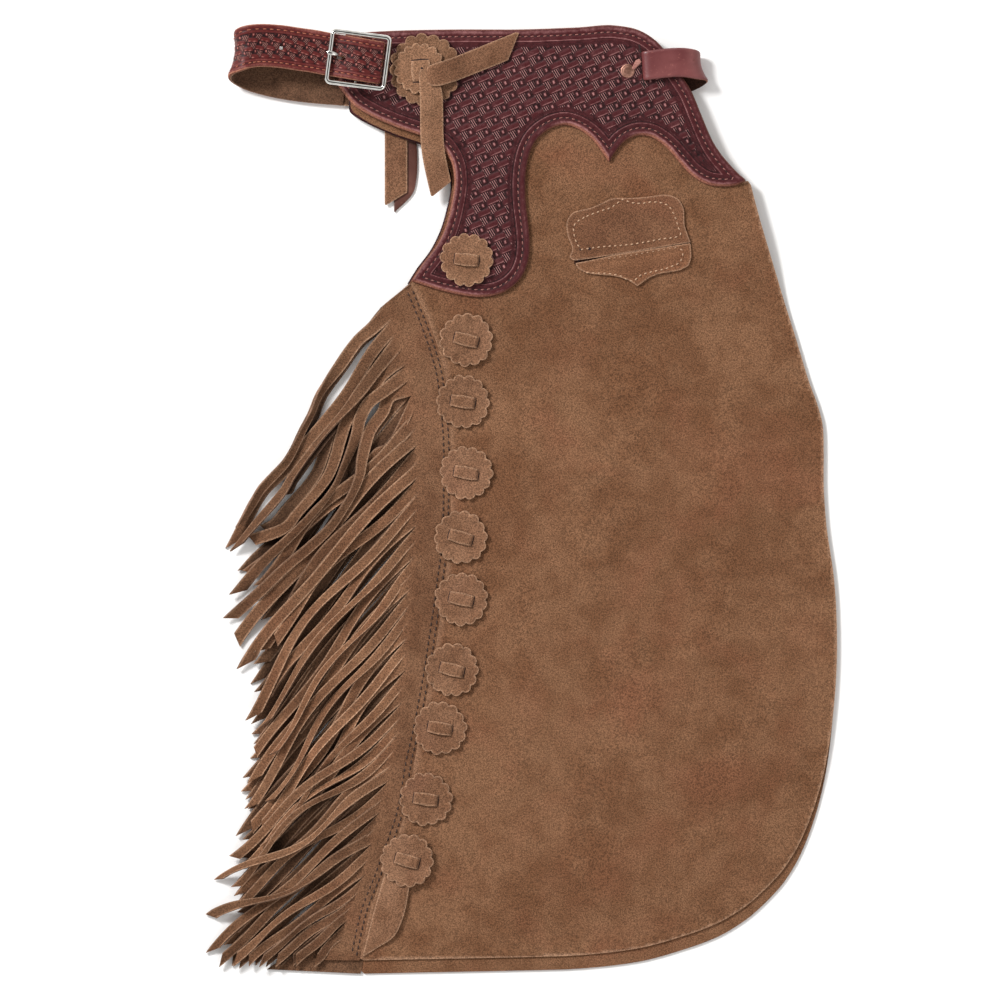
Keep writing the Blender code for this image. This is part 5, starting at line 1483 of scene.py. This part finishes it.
def closed_mouth(loop):
    """The lower piece's outline, its upper edge closer to the upper piece towards the front."""
    share = np.clip((loop[:, 0] - 48.0) / 105.5, 0.0, 1.0)
    upper_edge = np.abs(loop[:, 1] - (215.0 + 16.5 * share)) < 0.6
    return loop + np.outer(upper_edge * (0.5 + 1.8 * eased(share / 0.4)), (0.0, 1.0))


def make_pocket():
    for part, look in (("upper", "pocket"), ("lower", "pocket_lower")):
        loop = panel_outline("pocket_" + part, 1.2)
        if part == "lower":
            loop = closed_mouth(loop)
        plan = filled([loop], 1.2)
        level = ground(plan.points, ON_PANEL_LEVEL)
        swell = 0.35 * eased((plan.inside - 5.5) / 8.0) - 0.30 * bell(plan.inside, 5.4, 1.2)
        lifted = 0.5 * bell(plan.inside, 0.0, 2.6) * (0.7 + 0.6 * soft_noise(plan.points, 16.0, 9))
        top = level + SUEDE + swell + lifted
        suede_piece(f"pocket_{part}_piece", "pocket_" + part, plan, level, top, look, rim=1.3)
    for number, (row, size) in enumerate(POCKET_ROWS, start=1):
        line = smooth_through(row, 1.0, corner=60.0)
        level = ON_PANEL_LEVEL + SUEDE - 0.02
        name = f"pocket_stitches_{number}"
        stitch_row(name, line, POCKET_STITCH_PITCH, size, level, "pocket_thread", 10.0)
    places = POCKET_PITS[:, :2]
    places = in_plan(places, ground(places, ON_PANEL_LEVEL + SUEDE + 0.25))
    make_holes("pocket_pits", places, np.tile(UP, (len(places), 1)), POCKET_PITS[:, 2])
    # The pocket's mouth is a dark sheet of painted shade in the gap between its two pieces
    plan = filled([POCKET_MOUTH], 3.0)
    level = ground(plan.points, ON_LEG)
    looks = "dark_lining dark_lining dark_lining"
    keep(make_sheet("pocket_mouth", plan, level + 0.5, level + 0.2, looks))


def make_far_thongs():
    for part, level, look in FAR_THONGS:
        node = "far_thong_" + part
        suede_piece(node + "_end", node, filled([panel_outline(node, 1.2)], 1.4), level, level + THONG, look)


# Straps -----------------------------------------------------------------------------------------

# The middle lines of the straps: x, y, z, and the turn of the strap's own way
BILLET_TURN = -7.5
BILLET_ROUTE = [(*place, BILLET_TURN) for place in (
    (-127.5, 397.8, 20.6), (-138.0, 399.2, 23.0), (-150.0, 401.3, 24.6), (-163.0, 403.6, 22.6),
    (-176.0, 405.8, 20.0), (-190.0, 408.5, 20.4), (-205.0, 410.6, 21.6), (-222.0, 413.0, 23.2),
    (-240.0, 413.8, 25.0), (-251.0, 412.3, 25.7), (-258.0, 409.4, 22.5), (-262.0, 405.0, 14.8),
    (-259.3, 400.0, 7.8), (-252.0, 395.0, 4.0), (-241.0, 390.7, 2.4), (-225.0, 386.6, 1.8),
    (-203.5, 383.0, 1.7), (-180.5, 380.6, 1.7), (-152.0, 378.6, 1.7),
)]
FRONT_STRAP_ROUTE = [
    (110.8, 395.6, 11.4, 4.0), (110.8, 395.6, 14.6, 4.0), (113.8, 395.9, 17.0, 4.0),
    (121.5, 396.8, 17.8, 3.0), (133.0, 398.2, 18.2, 1.0), (145.0, 398.6, 18.4, 3.0),
    (154.5, 397.6, 16.8, 7.0), (160.6, 396.0, 12.8, 11.0), (162.6, 394.0, 7.8, 15.0),
    (160.4, 390.8, 3.8, 22.0), (153.0, 386.6, 2.0, 28.0), (139.0, 380.9, 1.6, 30.0),
    (124.0, 372.3, 1.6, 30.0),
]
THONG_UP_ROUTE = [
    (-87.4, 385.2, 18.6, 2.0), (-86.0, 385.4, 20.4, 2.0), (-82.0, 386.4, 21.6, 4.0),
    (-74.0, 388.4, 21.4, 9.0), (-61.0, 392.8, 18.9, 18.0), (-50.0, 397.2, 16.4, 22.0),
    (-36.0, 402.8, 15.4, 22.0), (-20.0, 409.3, 15.4, 22.0), (2.0, 418.2, 15.4, 22.0),
]
THONG_DOWN_ROUTE = [
    (-89.8, 392.2, 17.6, 72.0), (-89.2, 391.0, 19.0, 74.0), (-87.0, 384.0, 19.5, 80.0),
    (-83.8, 372.0, 19.2, 88.0), (-83.1, 357.0, 17.5, 90.0), (-83.0, 345.0, 15.7, 90.0),
    (-82.8, 332.0, 15.4, 91.0), (-81.8, 319.0, 15.4, 95.0), (-79.6, 306.0, 14.4, 100.0),
    (-76.4, 291.5, 11.8, 101.0), (-73.0, 277.0, 8.8, 101.0),
]
BILLET_WIDTH = 39.0
BILLET_LEATHER = 3.0
BILLET_LINING = 1.2
BILLET_BORDER = 7.9
BILLET_STITCH_LINE = 4.6
BILLET_STITCH_PITCH = 5.8
BILLET_STITCH = (4.0, 1.05)
BILLET_HOLE = (-220.0, 411.5, 23.0)
TONGUE_SLOT = (-166.3, 402.8, 22.0)
LINING_END_X = -163.0
# The billet's stamp is finer than the yoke's and runs along it
BELT_STAMP = Stamp((4.0, 0.0), (10.6, 0.0), (5.3, -7.6), 12.0, 0.70)
FRONT_STRAP_WIDTH = 26.5
FRONT_STRAP_LEATHER = 2.6
FRONT_STRAP_PIT = (156.0, 401.0, 16.5)
# The strap's own end shows as a small ear between its slit and the rivet, its pale pink a painted highlight
STRAP_EAR = [(99.6, 393.4), (103.4, 400.8), (106.8, 402.2), (108.6, 399.2), (104.4, 394.4), (101.6, 391.8)]
# The slit is longer than the strap is wide: its two ends
STRAP_SLIT = [
    (105.6, 414.9), (106.9, 415.2), (108.6, 407.5), (107.2, 407.2),
    (109.2, 384.4), (110.7, 384.1), (111.8, 377.0), (110.5, 376.7),
]
THONG_WIDTH = 21.0
HIP_DISCS = (Disc(33.4, 17, 4.0), Disc(23.6, 16, 3.5))
HIP_CENTRES = np.array([(-88.8, 392.1), (-94.2, 393.0)])
KNOT_CENTRE = (-92.6, 391.0)
KNOT_HOLE = (-92.0, 393.2)


class Course:
    """A strap's course: points at a distance along it, across it and above it."""

    def __init__(self, route):
        rows = np.array(route)
        self.line = smooth_through(rows[:, :3], 1.0, corner=80.0)
        self.distance = travelled(self.line)
        self.length = self.distance[-1]
        knots = [self.distance[np.linalg.norm(self.line - row[:3], axis=1).argmin()] for row in rows]
        turn = np.radians(np.interp(self.distance, knots, rows[:, 3]))
        along = unit(np.gradient(self.line, axis=0))
        self.along = unit(np.stack([np.mean(windows(column, 3), axis=0) for column in along.T], 1))
        across = np.stack([-np.sin(turn), np.cos(turn), np.zeros(len(turn))], 1)
        self.across = unit(across - self.along * (self.along * across).sum(1)[:, None])
        self.upper = np.cross(self.along, self.across)
        # Whether the strap's upper side is also its face, which shows
        self.up = 1.0 if self.upper[len(self.upper) // 3, 2] > 0.0 else -1.0

    def at(self, table, places):
        return pick(table, self.distance, places)

    def place(self, points, height):
        along, aside = points.T
        across, upper = unit(self.at(self.across, along)), unit(self.at(self.upper, along))
        height = np.broadcast_to(height, len(points))
        return self.at(self.line, along) + across * aside[:, None] + upper * height[:, None]

    def nearest(self, place):
        """The distance along the strap, and across it, of a point in space."""
        index = np.linalg.norm(self.line - place, axis=1).argmin()
        return self.distance[index], (place - self.line[index]) @ self.across[index]


def dense(knots, step=1.5):
    """Points about a step apart on the straight sides of a closed outline."""
    made = []
    for a, b in zip(knots, np.roll(knots, -1, axis=0)):
        count = max(1, round(np.linalg.norm(b - a) / step))
        made += [a + (b - a) * k / count for k in range(count)]
    return np.array(made)


def strap_loop(start, end, width, corner):
    """A strap's flat outline with cut corners."""
    half = width / 2.0
    return dense(np.array([
        (start + corner, -half), (end - corner, -half), (end, -half + corner), (end, half - corner),
        (end - corner, half), (start + corner, half), (start, half - corner), (start, -half + corner),
    ]))


def cut_end(loop, course, point, cut):
    """Cuts a strap's flat outline along a line given in the model's plan."""
    x, y = (course.place(loop, 0.0)[:, :2] - point).T
    side = x * cut[1] - y * cut[0]
    kept = []
    for index in range(len(loop)):
        after = (index + 1) % len(loop)
        if side[index] <= 0.0:
            kept.append(loop[index])
        if (side[index] <= 0.0) != (side[after] <= 0.0):
            share = side[index] / (side[index] - side[after])
            kept.append(loop[index] + (loop[after] - loop[index]) * share)
    return dense(np.array(kept))


def strap_sheet(name, plan, top, bottom, looks, course):
    """A strap's sheet along its course, from heights above its middle."""
    obj = make_sheet(name, plan, course.up * top, course.up * bottom, looks, course.place)
    if course.up * np.mean(top - bottom) < 0.0:
        obj.data.flip_normals()
    return obj


def make_billet():
    course = Course(BILLET_ROUTE)
    half = BILLET_LEATHER / 2.0
    outline = strap_loop(0.0, course.length, BILLET_WIDTH, 1.5)
    along, aside = course.nearest(TONGUE_SLOT)
    slot = strap_loop(along - 5.0, along + 5.0, 4.2, 1.5) + (0.0, aside)
    holes = [circle(course.nearest(BILLET_HOLE), 2.1), slot[::-1]]
    plan = filled([outline] + holes, 0.85)
    inside = np.maximum(distance_inside(plan.points, [outline])[0], 0.0)
    from_edge = BILLET_WIDTH / 2.0 - np.abs(plan.points[:, 1])
    field_height, field_tone, ticks, strip = basket(plan.points, BELT_STAMP)
    into_field = eased((from_edge - BILLET_BORDER) / 0.8)
    height, tone = border_relief(from_edge, BILLET_BORDER, BILLET_STITCH_LINE)
    height = blend(height, field_height * 0.8, into_field) - edge_drop(inside, 1.2, 1.1)
    tone = blend(tone + 0.10, 1.3 * field_tone - 0.2, into_field)
    billet = strap_sheet("belt_billet", plan, half + height, -half, "belt lining leather_edge", course)
    give_stamping(billet, 2, tone, ticks * into_field, strip, eased((1.2 - inside) / 0.8))
    keep(billet, "billet", slot="stamped_leather")

    # The lining stops where the belt goes in under the far yoke
    from_end = np.abs(course.line[:, 0] - LINING_END_X) + 100.0 * (course.line[:, 2] > BILLET_LEATHER)
    outline = strap_loop(0.6, course.distance[from_end.argmin()], BILLET_WIDTH - 0.8, 1.5)
    inner = -half - GAP
    looks = "lining lining suede_edge"
    plan = filled([outline] + holes, 2.0)
    keep(strap_sheet("belt_lining", plan, inner - BILLET_LINING, inner, looks, course), "billet_lining")

    stitched = np.arange(3.0, course.length - 60.0, 1.0)
    level = course.up * (half - 0.1)
    for number, side in enumerate((-1.0, 1.0), start=1):
        line = in_plan(stitched[:, None], side * (BILLET_WIDTH / 2.0 - BILLET_STITCH_LINE))
        middle, along = spaced(line, BILLET_STITCH_PITCH)
        upper = course.at(course.upper, middle[:, 0]) * course.up
        make_stitches(
            f"belt_stitches_{number}", course.place(middle, level), course.at(course.along, middle[:, 0]),
            upper, *BILLET_STITCH, "belt_thread",
        )
        middle = middle + along * BILLET_STITCH_PITCH / 2.0
        upper = course.at(course.upper, middle[:, 0]) * course.up
        make_holes(f"belt_stitch_holes_{number}", course.place(middle, level), upper, 0.75)


def make_front_strap():
    course = Course(FRONT_STRAP_ROUTE)
    outline = strap_loop(0.0, course.length, FRONT_STRAP_WIDTH, 1.2)
    plan = filled([outline, circle(course.nearest(FRONT_STRAP_PIT), 0.8, 10)], 1.1)
    inside = np.maximum(distance_inside(plan.points, [outline])[0], 0.0)
    half = FRONT_STRAP_LEATHER / 2.0
    top = half + 0.15 * bell(inside, 2.2, 1.2) - edge_drop(inside, 1.2, 0.9)
    # The strap's underside is near black: painted shade under its fold
    looks = "strap dark_lining leather_edge"
    strap = strap_sheet("front_connecting_strap", plan, top, -half, looks, course)
    keep(strap, "front_strap", slot="strap_leather")
    plan = filled([smooth_through(STRAP_EAR, 0.8, closed=True, corner=20.0)], 0.8)
    base = ON_YOKE_LEVEL - 0.2
    top = base + 1.4 - edge_drop(plan.inside, 1.0, 0.4)
    ear = make_sheet("strap_ear", plan, top, base, "strap_ear strap leather_edge")
    keep(ear, slot="strap_leather")
    # The slit's two ends are dark sheets of painted shade
    points = in_plan(np.array(STRAP_SLIT), YOKE_TOP + 0.12)
    slit = make_object("strap_slit", points, [(0, 3, 2, 1), (4, 7, 6, 5)], "hole")
    keep(slit, slot="strap_leather")


def make_thong(name, node, route, look, seed, point, cut, corner, widths):
    """A thong's free end. widths: distances from its start, and its share of the full width there."""
    course = Course(route)
    loop = cut_end(strap_loop(0.0, course.length, THONG_WIDTH, corner), course, point, cut)
    loop[:, 1] *= np.interp(loop[:, 0], *widths)
    plan = filled([loop], 1.1)
    sway = 0.35 * soft_noise(plan.points, 26.0, seed) + 0.35
    half = THONG / 2.0
    top = half + sway - edge_drop(plan.inside, 1.2, 0.3)
    obj = strap_sheet(name, plan, top, sway - half, f"{look} {look} suede_edge", course)
    pale_rim(obj, plan.inside)
    keep(obj, node)


def make_hip():
    level = ON_YOKE_LEVEL
    make_disc(
        "hip_disc_large", "hip_rosette_large", HIP_CENTRES[0], HIP_DISCS[0], level, THONG, 71, 0.8,
        laid=False, shade=1.1,
    )
    level += THONG + 2.0 * GAP
    make_disc(
        "hip_disc_small", "hip_rosette_small", HIP_CENTRES[1], HIP_DISCS[1], level, THONG, 72, 1.0,
        laid=False,
    )
    level += THONG
    make_lace(
        "hip_knot_bar", "hip_knot", KNOT_CENTRE, 18.5, 17.5, 94.0, ON_YOKE_LEVEL + 2.0, level + 0.9,
        level, laid=False,
    )
    make_thong(
        "hip_thong_down_end", "hip_thong_down", THONG_DOWN_ROUTE, "rosette", 82, (-74.4, 283.0),
        (1.0, 0.80), 3.0, ((0.0, 3.0, 9.0, 20.0, 28.0), (0.42, 0.60, 0.74, 0.94, 1.0)),
    )
    make_thong(
        "hip_thong_up_end", "hip_thong_up", THONG_UP_ROUTE, "thong", 81, (-7.8, 414.2),
        (0.40, 1.0), 4.0, ((0.0, 3.0, 9.0, 14.0), (0.72, 0.84, 0.97, 1.0)),
    )
    make_holes("hip_knot_hole", np.array([(*KNOT_HOLE, level + 2.1)]), UP[None], 1.1)


# Hardware ---------------------------------------------------------------------------------------

BUCKLE_CENTRE = np.array((-150.0, 400.7))
BUCKLE_TURN = BILLET_TURN
BUCKLE_LENGTH = 52.4
BUCKLE_WIDTH = 46.8
BUCKLE_CORNER = 3.6
BUCKLE_WIRE = 4.4
BUCKLE_LEVEL = 24.7
CENTRE_BAR_WIRE = 3.0
CENTRE_BAR_LEVEL = 17.4
CENTRE_BAR_BEND = 1.8
TONGUE_VEER = 0.11
# The tongue from the hook to the frame: place along the belt, and height
TONGUE_WAY = ((-4.0, 19.4), (-8.5, 18.5), (-12.5, 18.9), (-17.0, 22.6), (-21.0, 26.6))
# The two sides of the chape beside its slot for the tongue
CHAPE_SIDES = ((-16.0, -4.2), (4.2, 16.0))
RIVET_CENTRE = (96.0, 391.0)
# A flat head, worn dull, with a low ring round it: radius, and height above the yoke
RIVET_PROFILE = [
    (2.0, NEAR_YOKE_LEVEL - ON_YOKE_LEVEL), (2.0, 0.0), (6.1, 0.0), (6.35, 0.3), (6.2, 0.6), (5.7, 0.85),
    (5.0, 0.8), (4.6, 0.72), (4.2, 0.86), (2.6, 0.95), (1.2, 0.98),
]


def belt_points(rows):
    """Points in the buckle's axes, along the belt, across it and up, in the model's."""
    rows = np.asarray(rows, float)
    plan = np.outer(rows[:, 0], heading(BUCKLE_TURN)) + np.outer(rows[:, 1], heading(BUCKLE_TURN + 90.0))
    return in_plan(plan + BUCKLE_CENTRE, rows[:, 2])


def round_the_bar(radius, degrees):
    """Places round the centre bar, in the buckle's axes."""
    return [(x, 0.0, CENTRE_BAR_LEVEL + z) for x, z in (radius * heading(turn) for turn in degrees)]


def tube(line, radii, sides, flat=1.0, closed=False):
    """A tube along a line: its rings' radii, and how much lower than wide each ring is."""
    steps = np.roll(line, -1, axis=0) - np.roll(line, 1, axis=0) if closed else np.gradient(line, axis=0)
    along = unit(steps)
    aside = unit(np.cross(along, UP + along * 1e-6))
    other = np.cross(aside, along) * np.broadcast_to(flat, len(line))[:, None]
    points = []
    for index, radius in enumerate(np.broadcast_to(radii, len(line))):
        ring = circle((0.0, 0.0), radius, sides) @ np.stack([aside[index], other[index]])
        points.extend(line[index] + ring)
    return points, ring_faces(len(line), sides, closed)


def make_buckle():
    inner_x, inner_y = BUCKLE_LENGTH / 2.0 - BUCKLE_CORNER, BUCKLE_WIDTH / 2.0 - BUCKLE_CORNER
    ring = []
    for sign_x, sign_y, start in ((1, 1, 90.0), (1, -1, 0.0), (-1, -1, -90.0), (-1, 1, -180.0)):
        for step in range(9):
            x, y = (sign_x * inner_x, sign_y * inner_y) + BUCKLE_CORNER * heading(start - 90.0 * step / 8.0)
            ring.append((x, y, BUCKLE_LEVEL))
    line = smooth_through(belt_points(ring), 4.0, closed=True, corner=95.0)
    points, faces = tube(line, BUCKLE_WIRE / 2.0, 20, 0.92, closed=True)
    half = BUCKLE_WIDTH / 2.0
    above = CENTRE_BAR_LEVEL + CENTRE_BAR_BEND + 1.0
    bar = [
        (0.0, -half, BUCKLE_LEVEL), (0.0, -half, above), (0.0, -half + CENTRE_BAR_BEND, CENTRE_BAR_LEVEL),
        (0.0, half - CENTRE_BAR_BEND, CENTRE_BAR_LEVEL), (0.0, half, above), (0.0, half, BUCKLE_LEVEL),
    ]
    more, more_faces = tube(smooth_through(belt_points(bar), 1.2, corner=95.0), CENTRE_BAR_WIRE / 2.0, 14)
    faces += [[v + len(points) for v in face] for face in more_faces]
    obj = make_object("buckle", points + more, faces, "nickel")
    fix_normals(obj)
    keep(obj, "buckle_frame", slot="nickel")


def make_tongue():
    rows = round_the_bar(CENTRE_BAR_WIRE / 2.0 + GAP + 1.1, (-150.0, -105.0, -60.0, -15.0, 30.0, 70.0))
    rest = BUCKLE_LEVEL + BUCKLE_WIRE / 2.0 + GAP + 1.0
    rows += [(x, -TONGUE_VEER * x, z) for x, z in (*TONGUE_WAY, (-25.0, rest), (-29.4, rest + 0.1))]
    line = smooth_through(belt_points(rows), 0.8, corner=95.0)
    share = travelled(line) / travelled(line)[-1]
    # Narrow where it comes out of the belt, broad and flat over the frame, rounded at its end
    over_frame = eased((share - 0.62) / 0.25)
    radii = 1.1 + 0.9 * over_frame - 1.2 * eased((share - 0.965) / 0.035)
    obj = make_object("buckle_tongue_pin", *tube(line, radii, 14, 1.0 - 0.42 * over_frame), "nickel")
    fix_normals(obj)
    keep(obj, "buckle_tongue", slot="nickel")


def make_chape():
    lower_z = ON_YOKE_LEVEL + 0.6
    upper_z = lower_z + 1.2 + GAP
    rows = [(18.5, 0.0, lower_z), (8.0, 0.0, lower_z)]
    rows += round_the_bar(CENTRE_BAR_WIRE / 2.0 + GAP + 0.6, (-95.0, -140.0, -185.0, -230.0, -275.0))
    rows += [(5.5, 0.0, upper_z + 1.6), (9.5, 0.0, upper_z), (18.5, 0.0, upper_z)]
    line = smooth_through(belt_points(rows), 1.0, corner=95.0)
    across = np.array((*heading(BUCKLE_TURN + 90.0), 0.0))
    points, faces = [], []
    columns = 9
    for side in CHAPE_SIDES:
        faces += grid_faces(len(line), columns, len(points))
        points += [place + across * aside for place in line for aside in np.linspace(*side, columns)]
    obj = make_shell("chape", points, faces, 1.1, "strap leather_edge")
    keep(obj, "buckle_chape", slot="strap_leather")


def make_rivet(sides=48):
    """A copper burr rivet."""
    rings = [in_plan(circle(RIVET_CENTRE, radius, sides), ON_YOKE_LEVEL + z) for radius, z in RIVET_PROFILE]
    obj = make_object("rivet", np.vstack(rings), ring_faces(len(rings), sides), "copper")
    keep(obj, "copper_rivet", slot="copper")


# Cloth facts ------------------------------------------------------------------------------------


def declare_sheets():
    """Works out each sheet's flat area from its CAD outline, and each strap's width and length, and keeps
    none of them.
    """
    panels = {
        "near_leg": ("near_panel", ["far_leg", "far_yoke_leather"]),
        "far_leg": ("far_panel", []),
        "near_yoke_leather": ("near_yoke", ["near_leg"]),
        "far_yoke_leather": ("far_yoke", ["far_leg"]),
    }
    for name, (node, under) in panels.items():
        loop = node_outlines(node)[0]
        float(abs(crossed(loop)) / 2.0) * MM * MM
    straps = {
        "belt_billet": (BILLET_ROUTE, BILLET_WIDTH, "folded"),
        "front_connecting_strap": (FRONT_STRAP_ROUTE, FRONT_STRAP_WIDTH, "folded"),
        "hip_thong_up_end": (THONG_UP_ROUTE, THONG_WIDTH, "laid"),
        "hip_thong_down_end": (THONG_DOWN_ROUTE, THONG_WIDTH, "laid"),
    }
    for name, (route, width, held) in straps.items():
        width * MM
        Course(route).length * MM


make_camera()
make_light()
make_floor()
make_legs()
make_yokes()
make_fringes()
make_leg_rosettes()
make_pocket()
make_far_thongs()
make_billet()
make_front_strap()
make_hip()
make_slots()
make_buckle()
make_tongue()
make_chape()
make_rivet()
declare_sheets()
